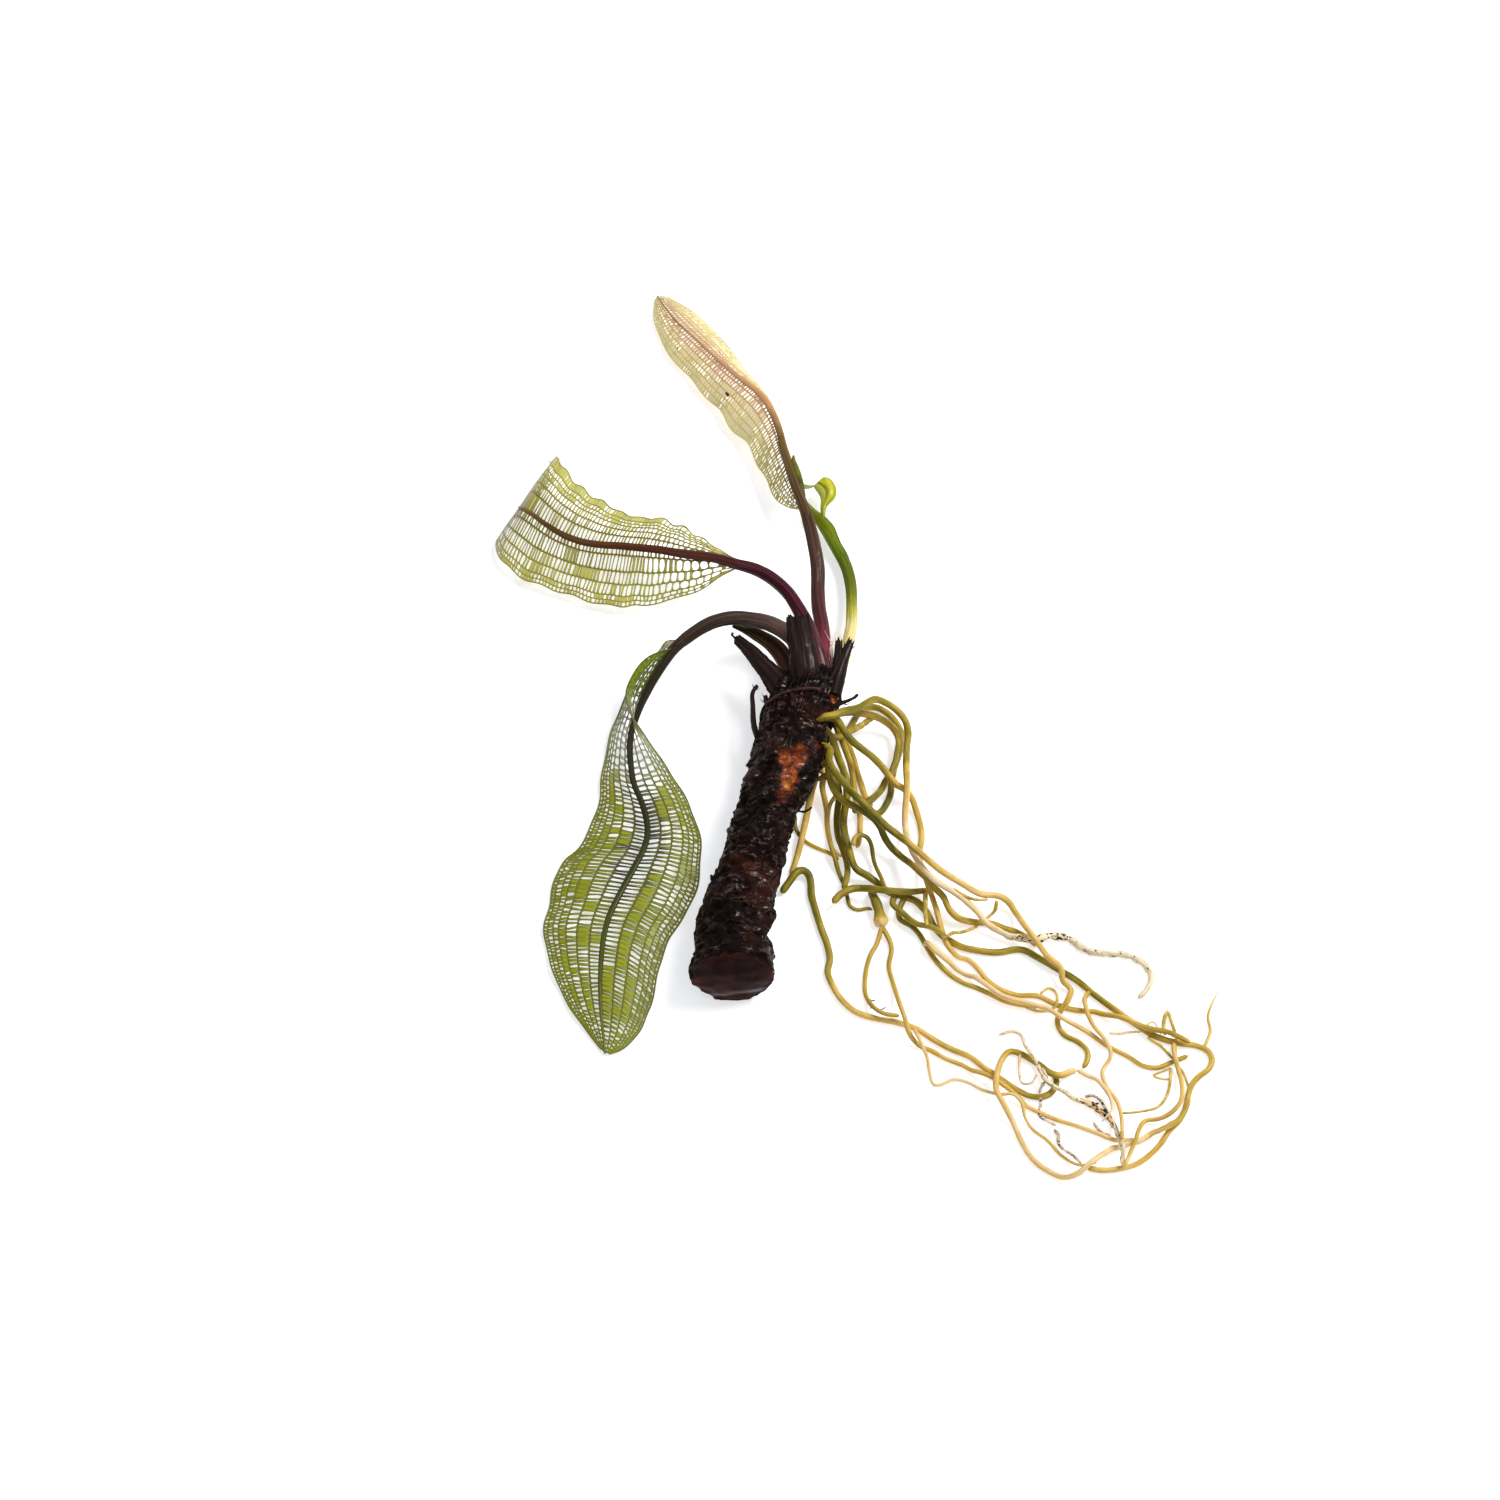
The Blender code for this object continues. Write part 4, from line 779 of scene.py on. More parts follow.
def buildStubs():
    for name, points, wide, tall, sides in stubs:
        replaced = () if name == "stub_right_prong" else (name,)
        teeth = stems["stubTeeth" if name.startswith("stub") else "spurTeeth"]
        buildStem(name + "_wood", points, crownPlane, wide, tall, sides, stalkLooks["old"], "old_stalk",
                  round(sides / 4), 0.12, 0.07, replaced, teeth)


def buildStalks():
    slots = {"stalk_lower": "stalk_brown", "stalk_old": "old_stalk", "stalk_left": "stalk_crimson",
             "stalk_upper": "stalk_crimson", "stalk_young": "stalk_green"}
    for name, plane, points, wide, tall in stalks:
        buildStem(name + "_skin", points, plane, wide, tall, stems["stalkSides"], stalkLooks[name], slots[name],
                  7, 0.1, 0.015, (name,))


buildStubs()
buildStalks()
print("stubs and stalks")


# leaf blades: margins and midrib as (x, y, height); lanes, the share of the way out where each lane of cells ends;
# pitch and closed, a value for each lane; filled, (lane, start, end, share closed) of places with more closed cells
bladeTop = 17.3
lowerBlade = {
    "node": "blade_lower", "name": "lower_leaf", "slot": "leaf_green", "plane": lowLeafPlane, "greener": 0.32,
    "left": [
        (-19.8, 51.2, 12.0), (-21.8, 50.9, 11.2), (-23.4, 48.4, 10.0), (-26.4, 45.4, 7.8), (-28.8, 41.8, 5.6),
        (-30.2, 38.0, 3.8), (-31.4, 34.8, 2.6), (-33.0, 30.3, 1.8), (-34.0, 25.4, 1.3), (-34.8, 21.3, 1.0),
        (-35.2, 17.0, 0.8), (-35.5, 13.0, 0.7), (-36.3, 8.9, 0.7), (-37.8, 4.8, 0.7), (-39.8, 0.8, 0.7),
        (-42.3, -1.6, 0.7), (-44.3, -6.0, 0.7), (-45.3, -12.0, 0.8), (-46.3, -17.6, 0.9), (-45.6, -22.6, 1.0),
        (-43.7, -29.0, 1.0), (-40.7, -35.6, 0.9), (-36.9, -41.4, 0.7), (-34.2, -45.2, 0.6)],
    "middle": [
        (-20.1, 49.2, 12.0), (-21.6, 46.8, 10.9), (-23.3, 43.8, 9.4), (-24.9, 40.8, 7.8), (-26.3, 37.6, 6.2),
        (-27.5, 34.4, 5.0), (-28.4, 31.4, 4.1), (-29.1, 28.4, 3.5), (-29.3, 25.0, 3.2), (-29.0, 20.5, 3.0),
        (-28.3, 16.3, 2.8), (-26.8, 12.3, 2.7), (-25.7, 8.2, 2.6), (-25.4, 4.4, 2.6), (-26.2, 0.8, 2.6),
        (-27.7, -2.6, 2.6), (-29.4, -6.3, 2.6), (-31.4, -10.7, 2.5), (-33.2, -15.3, 2.4), (-34.1, -20.0, 2.3),
        (-34.5, -25.0, 2.1), (-34.6, -30.3, 1.9), (-34.4, -35.6, 1.7), (-33.9, -40.8, 1.4), (-33.4, -46.0, 0.8)],
    "right": [
        (-20.6, 49.0, 12.8), (-22.2, 48.6, 12.6), (-25.0, 47.4, 11.6), (-27.5, 45.0, 10.2), (-29.3, 41.5, 8.6),
        (-30.1, 38.5, 7.3), (-29.9, 35.5, 6.3), (-29.2, 33.3, 5.6), (-28.2, 31.3, 4.9), (-27.3, 29.6, 3.9),
        (-25.9, 27.4, 2.5), (-24.2, 24.7, 1.6), (-22.2, 21.3, 1.1), (-20.2, 17.8, 0.9), (-18.4, 14.4, 0.8),
        (-16.8, 11.0, 0.7), (-15.5, 7.5, 0.7), (-14.5, 2.4, 0.7), (-14.5, -2.6, 0.7), (-15.2, -8.0, 0.7),
        (-17.0, -13.4, 0.8), (-20.4, -19.3, 0.9), (-22.4, -25.0, 1.0), (-23.5, -31.0, 1.0), (-25.0, -37.4, 0.9),
        (-27.1, -42.0, 0.8), (-30.2, -45.2, 0.7), (-32.6, -46.2, 0.6)],
    "arch": 0.06,
    "lanes": {"left": (0, .235, .457, .642, .765, .852, .938, 1), "right": (0, .262, .476, .679, .786, .869, .952, 1)},
    "pitch": (.92, .95, .92, .88, .8, .74, .72), "pitchAlong": ((0, .26, .34, .44, 1), (1.8, 1.8, 1.3, 1.02, 1)),
    "crossVein": 0.34, "laneVein": 0.12, "stalk": "stalk_lower",
    "closed": {"left": (.06, .26, .34, .34, .22, .12, .1), "right": (.06, .36, .38, .3, .18, .12, .1)},
    "filled": {
        "left": [(1, .7, .95, .5)],
        "right": [(1, .5, .84, .66), (0, .78, .92, .35), (3, .03, .15, .4), (4, .03, .15, .5), (5, .03, .15, .6)]},
    "openUntil": 0.3,
    "slant": {"left": ((0, 1), (0, 0)), "right": ((0, .3, .42, .6, .82, 1), (0, -.01, 0, .045, .045, 0))},
    "waves": {"left": (0.35, 9, 1.0), "right": (0.25, 8, 0.3)},
    "scallop": {"left": (0.15, 11, 0.4), "right": (0.15, 12, 1.6)}, "sheet": 0.16, "rib": 0.17, "edge": 0.2,
    "midribWide": (1.25, 1.0, 0.7, 0.62, 0.65, 0.68, 0.65, 0.55, 0.4, 0.22),
    "midribTall": (0.97, 0.8, 0.55, 0.5, 0.5, 0.5, 0.48, 0.42, 0.3, 0.18),
    "look": {"tissue": shade(154, 158, 26), "tissueToo": shade(132, 136, 16), "fresh": shade(122, 152, 24),
             "freshVein": shade(98, 118, 20), "inner": shade(60, 60, 36), "outer": shade(124, 128, 20),
             "pale": shade(194, 196, 186), "veinTurn": (0.1, 0.5)},
    "ribs": (shade(70, 70, 36), shade(103, 104, 24), shade(124, 124, 92)),
    "midribHue": [(0.0, shade(54, 44, 32)), (0.15, shade(48, 42, 30)), (0.35, shade(46, 45, 26)),
                  (0.6, shade(60, 64, 22)), (0.85, shade(84, 92, 28)), (1.0, shade(122, 124, 40))],
    "midribStreak": shade(92, 88, 52),
}
leftBlade = {
    "node": "blade_left", "name": "left_leaf", "slot": "leaf_yellow", "plane": leafPlane, "greener": 0.0,
    "left": [
        (-7.4, 65.4, 11.0), (-10.0, 64.0, 9.4), (-13.0, 61.6, 7.4), (-17.0, 59.5, 5.4), (-21.5, 58.1, 4.2),
        (-27.0, 56.6, 3.4), (-29.0, 57.0, 3.2), (-31.0, 56.4, 3.0), (-35.0, 57.0, 2.8), (-40.0, 58.3, 2.6),
        (-45.0, 60.4, 2.4), (-50.5, 62.4, 2.4), (-55.0, 65.4, 2.4), (-58.2, 69.4, 2.4), (-59.0, 72.6, 2.0),
        (-57.6, 75.4, 0.9)],
    "middle": [
        (-7.6, 67.0, 11.6), (-12.0, 68.3, 11.0), (-16.0, 69.0, 10.4), (-20.0, 69.7, 9.8), (-24.0, 70.5, 9.2),
        (-28.0, 71.0, 8.7), (-32.0, 71.5, 8.3), (-36.0, 71.8, 8.0), (-40.0, 72.5, 7.8), (-44.0, 74.2, 7.6),
        (-48.0, 77.0, 7.2), (-51.2, 79.8, 6.4), (-53.6, 81.4, 4.8), (-54.0, 81.8, 2.8), (-52.0, 82.4, 0.9)],
    "right": [
        (-7.8, 68.3, 11.2), (-10.5, 70.2, 10.6), (-15.0, 73.6, 9.6), (-19.5, 76.6, 8.8), (-24.5, 78.5, 8.0),
        (-29.0, 78.8, 7.4), (-33.0, 80.8, 6.8), (-36.5, 83.2, 6.4), (-40.0, 85.8, 6.0), (-43.0, 89.2, 5.8),
        (-45.2, 92.6, 5.6), (-46.4, 94.6, 4.8), (-47.8, 92.0, 3.4), (-48.0, 89.6, 1.8), (-46.6, 88.4, 0.9)],
    "arch": 0.06,
    "lanes": {"left": (0, .17, .46, .67, .85, .93, 1), "right": (0, .29, .475, .625, .725, .825, 1)},
    "pitch": (.8, .8, .8, .78, .76, .74), "pitchAlong": ((0, .06, .13, .24, .36, 1), (3.3, 3, 2.3, 1.6, 1, 1)),
    "crossVein": 0.24, "laneVein": 0.11, "stalk": "stalk_left",
    "closed": {"left": (.02, .05, .12, .34, .45, .42), "right": (.02, .06, .18, .32, .45, .7)},
    "filled": {"left": [], "right": []}, "openUntil": 0.35,
    "slant": {"left": ((0, .5, 1), (0, .02, 0)), "right": ((0, .5, 1), (0, -.02, 0))},
    "waves": {"left": (0.3, 7, 0.5), "right": (0.4, 9, 0.0)},
    "scallop": {"left": (0.25, 8, 0.2), "right": (0.42, 11, 0.5)}, "sheet": 0.15, "rib": 0.17, "edge": 0.18,
    "midribWide": (1.25, 1.15, 1.05, 0.95, 0.88, 0.85, 0.75, 0.6, 0.45, 0.25),
    "midribTall": (1.05, 0.9, 0.75, 0.66, 0.58, 0.55, 0.5, 0.42, 0.3, 0.18),
    # the pale colours of tissue and veins here are a painted sheen on the curled end
    "look": {"tissue": shade(204, 200, 118), "tissueToo": shade(194, 190, 98), "fresh": shade(190, 194, 88),
             "freshVein": shade(156, 158, 60), "inner": shade(140, 130, 66), "outer": shade(184, 180, 94),
             "pale": shade(196, 188, 170), "veinTurn": (0.1, 0.7)},
    "ribs": (shade(104, 80, 36), shade(148, 136, 54), shade(170, 162, 136)),
    "midribHue": [(0.0, shade(66, 28, 32)), (0.15, shade(80, 40, 30)), (0.45, shade(82, 46, 20)),
                  (0.75, shade(90, 62, 24)), (1.0, shade(150, 130, 80))],
    "midribStreak": shade(116, 80, 58),
}
upperBlade = {
    "node": "blade_upper", "name": "upper_leaf", "slot": "leaf_tan", "plane": stalkPlane, "greener": 0.0,
    "left": [
        (6.4, 81.9, 8.6), (4.4, 82.3, 7.2), (2.4, 83.8, 6.0), (0.6, 86.6, 5.1), (-1.2, 91.0, 4.4), (-3.2, 96.0, 3.8),
        (-6.0, 101.0, 3.2), (-9.0, 105.0, 2.7), (-11.6, 109.2, 2.3), (-15.5, 114.5, 2.0), (-19.0, 119.0, 1.7),
        (-22.0, 123.5, 1.4), (-24.2, 128.0, 1.2), (-25.5, 133.0, 1.0), (-25.5, 138.6, 0.7)],
    "middle": [
        (7.3, 82.6, 9.3), (6.1, 86.2, 9.4), (5.0, 90.0, 9.4), (4.0, 94.0, 9.2), (3.0, 98.0, 9.0), (2.0, 103.0, 8.6),
        (0.5, 107.5, 8.2), (-1.4, 111.4, 7.8), (-4.6, 114.8, 7.3), (-8.0, 118.0, 6.8), (-12.0, 122.5, 6.0),
        (-16.0, 127.0, 5.0), (-20.0, 131.5, 3.8), (-23.0, 136.0, 2.4), (-25.0, 139.6, 1.0)],
    "right": [
        (7.9, 82.8, 8.8), (7.2, 86.4, 7.8), (6.3, 90.5, 7.0), (4.9, 94.8, 6.2), (3.8, 98.9, 5.4), (2.8, 103.1, 4.6),
        (1.6, 107.3, 3.8), (0.0, 111.5, 3.0), (-2.8, 115.6, 2.4), (-5.2, 119.0, 2.0), (-7.5, 123.0, 1.7),
        (-10.3, 127.2, 1.5), (-13.8, 131.8, 1.3), (-18.2, 136.2, 1.0), (-22.8, 139.5, 0.8)],
    "arch": 0.06,
    "lanes": {"left": (0, .17, .36, .54, .7, .85, 1), "right": (0, .2, .38, .55, .7, .85, 1)},
    "pitch": (.84, .84, .82, .82, .8, .8), "pitchAlong": ((0, .3, 1), (1.15, 1, 1)),
    "crossVein": 0.24, "laneVein": 0.11, "stalk": "stalk_upper",
    "closed": {"left": (.1, .3, .4, .5, .68, .85), "right": (.15, .35, .4, .45, .6, .8)},
    "filled": {"left": [], "right": []}, "openUntil": 0.3,
    "slant": {"left": ((0, .5, 1), (0, -.02, 0)), "right": ((0, 1), (0, 0))},
    "waves": {"left": (0.35, 7, 0.8), "right": (0.2, 6, 0.0)},
    "scallop": {"left": (0.35, 6, 0.6), "right": (0.15, 7, 0.0)}, "sheet": 0.16, "rib": 0.15, "edge": 0.17,
    "midribWide": (1.25, 1.1, 0.9, 0.78, 0.76, 0.62, 0.4, 0.27, 0.2, 0.15),
    "midribTall": (1.05, 0.95, 0.75, 0.6, 0.5, 0.42, 0.32, 0.25, 0.2, 0.15),
    "look": {"tissue": shade(250, 226, 192), "tissueToo": shade(246, 228, 168), "fresh": shade(190, 190, 92),
             "freshVein": shade(134, 134, 44), "inner": shade(212, 166, 128), "outer": shade(226, 208, 130),
             "pale": shade(242, 228, 196), "veinTurn": (0.1, 0.7)},
    "ribs": (shade(190, 148, 104), shade(214, 196, 112), shade(212, 184, 136)),
    "midribHue": [(0.0, shade(74, 54, 36)), (0.12, shade(82, 62, 34)), (0.28, shade(112, 88, 46)),
                  (0.42, shade(200, 150, 104)), (0.7, shade(208, 160, 118)), (0.86, shade(156, 140, 70)),
                  (1.0, shade(166, 142, 98))],
    "midribStreak": shade(160, 124, 84),
}


stalkRoutes = {name: (plane, points) for name, plane, points, wide, tall in stalks}


class Sheet:
    # the surface of a blade: a share of the way from stalk to tip, and out from the midrib to a margin
    def __init__(self, blade):
        self.blade = blade
        self.curves = {edge: smooth(seen(blade[edge], blade["plane"]), 0.4) for edge in ("left", "middle", "right")}
        self.along = {edge: distanceAlong(curve) for edge, curve in self.curves.items()}
        self.length = self.along["middle"][-1]

    def edge(self, name, shares):
        return at(self.curves[name], self.along[name], np.clip(shares, 0, 1) * self.along[name][-1])

    def swing(self, kind, side, shares, outs, power):
        height, count, phase = self.blade[kind][side]
        calm = np.sin(math.pi * np.clip(shares, 0, 1)) ** 0.7
        return height * calm * outs**power * np.sin(2 * math.pi * (count * shares + phase))

    def place(self, side, shares, out):
        outs = np.full(len(shares), float(out))
        middle = self.edge("middle", shares)
        slant = np.interp(shares, *self.blade["slant"][side])
        reach = self.edge(side, shares + slant * outs) - middle
        size = np.linalg.norm(reach, axis=1)
        point = middle + reach * outs[:, None]
        wave = self.swing("waves", side, shares, outs, 2)
        point[:, 2] += self.blade["arch"] * size * np.sin(math.pi * outs) + wave
        bulge = self.swing("scallop", side, shares, outs, 4)
        point += reach / np.maximum(size, 0.01)[:, None] * bulge[:, None]
        point[:, 2] = np.clip(point[:, 2], floorClearance, bladeTop)
        return point


def tones(sheet, side, shares, outs):
    # how pale and how fresh green the blade is at each place; the left leaf's pale is a painted sheen along its curled
    # end
    name = sheet.blade["name"]
    shares, outs = np.asarray(shares), np.asarray(outs)
    if name == "lower_leaf":
        grey = 0.9 * ease((0.4 - shares) / 0.18) * ease((shares - 0.12) / 0.05) * (1 - 0.55 * outs)
        if side == "left":
            return np.maximum(grey, 0.6 * ease((0.16 - shares) / 0.08)), np.zeros(len(shares))
        return grey, ease((0.17 - shares) / 0.05)
    if name == "left_leaf":
        # the curled end gets a painted sheen
        return 0.75 * ease((shares - 0.86) / 0.05), 0.3 * (1 - outs)
    base = 0.9 * ease((0.42 - shares) / 0.24)
    margin = 0.5 * ease((outs - 0.72) / 0.28) if side == "left" else 0.15 * outs
    return 0.3 * (1 - base) * outs, np.maximum(np.maximum(base, margin), 0.4 * ease((shares - 0.8) / 0.2))


def rowPlaces(length, pitch, pitchAlong, draw):
    # where the cross veins of a lane start
    places = [0.0]
    while places[-1] < 1:
        step = pitch * np.interp(places[-1], *pitchAlong) * draw.uniform(0.74, 1.26)
        places.append(places[-1] + step / length)
    return 0.004 + 0.992 * np.array(places) / places[-1]


def closedRuns(count, share, seed):
    # runs of cells that stay closed
    picked = np.zeros(count, bool)
    draw = np.random.default_rng(seed)
    i = 0
    while i < count:
        run = int(draw.integers(1, 6))
        if draw.random() < share[min(i, count - 1)]:
            picked[i:i + run] = True
        i += run
    return picked


# the lattice's cells: how narrow a cell is always closed, how often a closed one has a slit or an open one is half
# closed, and what is left of the frame's height and width in each kind of cell
cells = {
    "seeds": {"lower_leaf": 100, "left_leaf": 200, "upper_leaf": 300}, "rightSeed": 50, "closedSeed": 20,
    "bend": 0.0012, "narrow": 0.42, "slitShare": 0.4, "slit": (0.16, 0.26), "slitWidth": 0.8, "halvedShare": 0.2,
    "closedHeight": 0.88, "closedWidth": 0.96, "leastHeight": 0.18, "leastWidth": 0.3,
}


def buildLace(sheet, side, finish):
    blade = sheet.blade
    lanes = blade["lanes"][side]
    seed = cells["seeds"][blade["name"]] + (cells["rightSeed"] if side == "right" else 0)
    points, faces = [], []
    data = {key: [] for key in ("open", "keepHigh", "keepWide", "tint", "alongAxis", "acrossAxis")}
    share, out = [], []
    for lane, (near, far) in enumerate(zip(lanes, lanes[1:])):
        draw = np.random.default_rng(seed + lane)
        rows = rowPlaces(sheet.length, blade["pitch"][lane], blade["pitchAlong"], draw)
        bend = draw.normal(0, cells["bend"], len(rows))
        inner, outer = sheet.place(side, rows + bend, near), sheet.place(side, rows - bend, far)
        first = len(points)
        for a, b in zip(inner, outer):
            points += [a, b]
        share += list(np.repeat(rows, 2))
        out += [near, far] * len(rows)
        middles = (rows[1:] + rows[:-1]) / 2
        chance = blade["closed"][side][lane] * ease((middles - blade["openUntil"] * 0.6) / (blade["openUntil"] * 0.8))
        chance = chance * (1 - 0.5 * ease((middles - 0.85) / 0.1))
        for filledLane, start, end, filled in blade["filled"][side]:
            if lane == filledLane:
                chance = np.where((middles > start) & (middles < end), filled, chance)
        shut = closedRuns(len(middles), chance, seed + cells["closedSeed"] + lane)
        for i in range(len(rows) - 1):
            corner = first + 2 * i
            faces.append((corner, corner + 1, corner + 3, corner + 2))
            p, q, r, s = inner[i], outer[i], outer[i + 1], inner[i + 1]
            across = (q + r - p - s) / 2
            along = (r + s - p - q) / 2
            wide = np.linalg.norm(across)
            across = across / max(wide, 1e-6)
            along = along - across * np.dot(along, across)
            high = np.linalg.norm(along)
            along = along / max(high, 1e-6)
            narrow = wide < cells["narrow"]
            closed = shut[i] or narrow
            slit = draw.random()
            keepHigh = 1 - blade["crossVein"] * (1 + 0.05 * lane) / max(high, 0.4) * draw.uniform(0.65, 1.45)
            keepWide = max(cells["leastWidth"], 1 - 2 * blade["laneVein"] / max(wide, 0.3))
            if closed and not narrow and slit < cells["slitShare"]:
                closed = False
                keepHigh = draw.uniform(*cells["slit"])
                keepWide *= cells["slitWidth"]
            elif not closed and slit < cells["halvedShare"]:
                keepHigh *= 0.5
            keepHigh = cells["closedHeight"] if closed else max(keepHigh, cells["leastHeight"])
            keepWide = cells["closedWidth"] if closed else keepWide
            found = (0.0 if closed else 1.0, keepHigh, keepWide, draw.random(), along, across)
            for key, value in zip(data, found):
                data[key].append(value)
    pale, green = tones(sheet, side, share, out)
    name = f"{blade['name']}_lace_{side}"
    values = {key: np.array(found) for key, found in data.items()}
    towardTip = blade["greener"] * ease((np.array(share) - 0.5) / 0.22)
    values.update({"out": np.array(out) + towardTip, "pale": pale, "green": green})
    base = plainMesh(name, points, faces, attributes=values, domains={key: "FACE" for key in data})
    mesh = grow(name, base, laceGroup, {"Material": finish, "Rounding": 1}, blade["sheet"])
    replaced = (blade["node"],) if side == "left" else ()
    piece(name, mesh, finish, blade["slot"], *replaced)
    print(name, len(faces), "cells", len(mesh.polygons), "faces")


def buildRibs(sheet, finish):
    blade = sheet.blade
    made, outs, pales = [], [], []
    rows = np.linspace(0.002, 0.998, round(sheet.length / 0.9))
    thin = 0.55 + 0.45 * np.sin(math.pi * rows) ** 0.5
    for side in ("left", "right"):
        for out in blade["lanes"][side][1:]:
            thick = blade["edge"] if out == 1 else blade["rib"] * (1 - 0.25 * out)
            made.append((sheet.place(side, rows, out), thick * thin))
            outs += [out] * len(rows)
            pales += list(tones(sheet, side, rows, np.full(len(rows), out))[0])
    strands(blade["name"] + "_veins", made, finish, blade["slot"], 6, out=outs, pale=pales)


def buildMidrib(sheet):
    # it goes on from the last stretch of its stalk
    blade = sheet.blade
    lead = smooth(seen(stalkRoutes[blade["stalk"]][1], stalkRoutes[blade["stalk"]][0]))[-3:-1]
    curve = evenly(smooth(np.vstack([lead, sheet.curves["middle"][3:-2:2], sheet.curves["middle"][-1:]])), 0.6)
    shares = distanceAlong(curve) / distanceAlong(curve)[-1]
    wide, tall = spread(blade["midribWide"], shares), spread(blade["midribTall"], shares)
    curve[:, 2] = np.maximum(curve[:, 2], tall + 0.1)
    relief = ribbed(curve, 16, 5, 0.06, 0.03, 3.0)
    mesh = tube(blade["name"] + "_midrib", curve, wide, tall, 16, relief)
    finish = stalkFinish(blade["name"] + "_midrib", blade["midribHue"], blade["midribStreak"], 0.25)
    piece(blade["name"] + "_midrib", mesh, finish, blade["slot"])


def buildBlades():
    for blade in (lowerBlade, leftBlade, upperBlade):
        sheet = Sheet(blade)
        lace = laceFinish(blade["name"] + "_tissue", blade["look"])
        for side in ("left", "right"):
            buildLace(sheet, side, lace)
        buildRibs(sheet, ribFinish(blade["name"] + "_vein", *blade["ribs"]))
        buildMidrib(sheet)


buildBlades()
print("blades")


# the young leaf: a roll that goes on as a strap, and a folded hood
youngLeaf = {
    # x, y, height, half-width, half-height: the roll, then hidden under the upper leaf's midrib, then the strap
    "roll": [
        (16.6, 67.2, 2.6, 1.1, 0.95), (15.4, 70.5, 2.5, 1.42, 1.14), (14.2, 73.0, 2.7, 1.4, 1.2),
        (13.2, 75.5, 2.9, 1.52, 1.35), (12.6, 77.1, 3.0, 1.6, 1.4), (11.8, 78.4, 3.1, 1.5, 1.3),
        (10.6, 80.1, 3.3, 1.25, 1.05), (9.6, 81.2, 3.5, 1.0, 0.8), (8.6, 82.7, 3.8, 0.72, 0.55),
        (7.6, 84.2, 4.3, 0.5, 0.35), (6.4, 86.3, 5.0, 0.5, 0.22), (6.0, 87.5, 5.4, 0.55, 0.18),
        (6.9, 88.1, 5.5, 0.66, 0.16), (8.4, 87.95, 5.4, 0.5, 0.15), (9.6, 88.2, 5.1, 0.22, 0.14), (10.6, 88.4, 4.9, 0.3, 0.18)],
    # left and right edge of the hood, height, half-height, where its crease runs and how deep it is
    "hood": [
        (11.0, 79.4, 12.3, 79.0, 3.3, 0.5, -0.2, 0.0), (11.1, 80.9, 12.1, 80.9, 3.9, 0.5, -0.2, 0.0),
        (11.0, 82.7, 12.5, 83.0, 4.1, 0.7, -0.2, 0.0), (11.1, 84.3, 13.3, 84.0, 4.3, 0.95, -0.15, 0.15),
        (10.9, 85.6, 14.3, 85.3, 4.5, 1.2, -0.15, 0.3), (10.4, 86.6, 14.6, 86.6, 4.6, 1.3, -0.14, 0.4),
        (9.8, 87.6, 14.4, 87.9, 4.7, 1.3, -0.26, 0.45), (9.6, 88.3, 13.8, 89.3, 4.7, 1.1, -0.5, 0.4),
        (10.3, 89.1, 13.0, 90.2, 4.7, 0.75, -0.8, 0.1), (11.2, 90.1, 12.1, 90.6, 4.6, 0.3, -0.8, 0.0)],
    "hue": [(0.0, shade(78, 98, 14)), (0.2, shade(94, 114, 16)), (0.36, shade(104, 120, 14)),
            (0.52, shade(98, 104, 12)), (0.7, shade(128, 132, 60)), (0.8, shade(176, 180, 150)),
            (0.92, shade(150, 156, 100)), (1.0, shade(140, 142, 40))],
    "hoodHue": [(0.0, shade(120, 138, 20)), (0.2, shade(156, 166, 48)), (0.5, shade(180, 182, 46)),
                (0.8, shade(184, 182, 42)), (1.0, shade(160, 154, 28))],
}


def buildRoll():
    points = np.array(youngLeaf["roll"])
    both = evenly(smooth(np.column_stack([seen(points[:, :3], stalkPlane), points[:, 3:]])), 0.3)
    curve = both[:, :3]
    sides = 40
    shares = np.linspace(0, 1, len(curve))
    relief = ribbed(curve, sides, 5, 0.1, 0.02, 6.0)
    angle = turns(sides)
    crease = np.exp(-((angle - 1.2) / 0.25) ** 2)[None] * np.sin(math.pi * np.clip(shares / 0.6, 0, 1))[:, None]
    mesh = tube("young_leaf", curve, both[:, 3], both[:, 4], sides, relief * (1 - 0.25 * crease))
    finish = stalkFinish("young_leaf", youngLeaf["hue"], shade(132, 136, 26), 0.4, 0.3)
    piece("young_leaf", mesh, finish, "leaf_young", "blade_young")


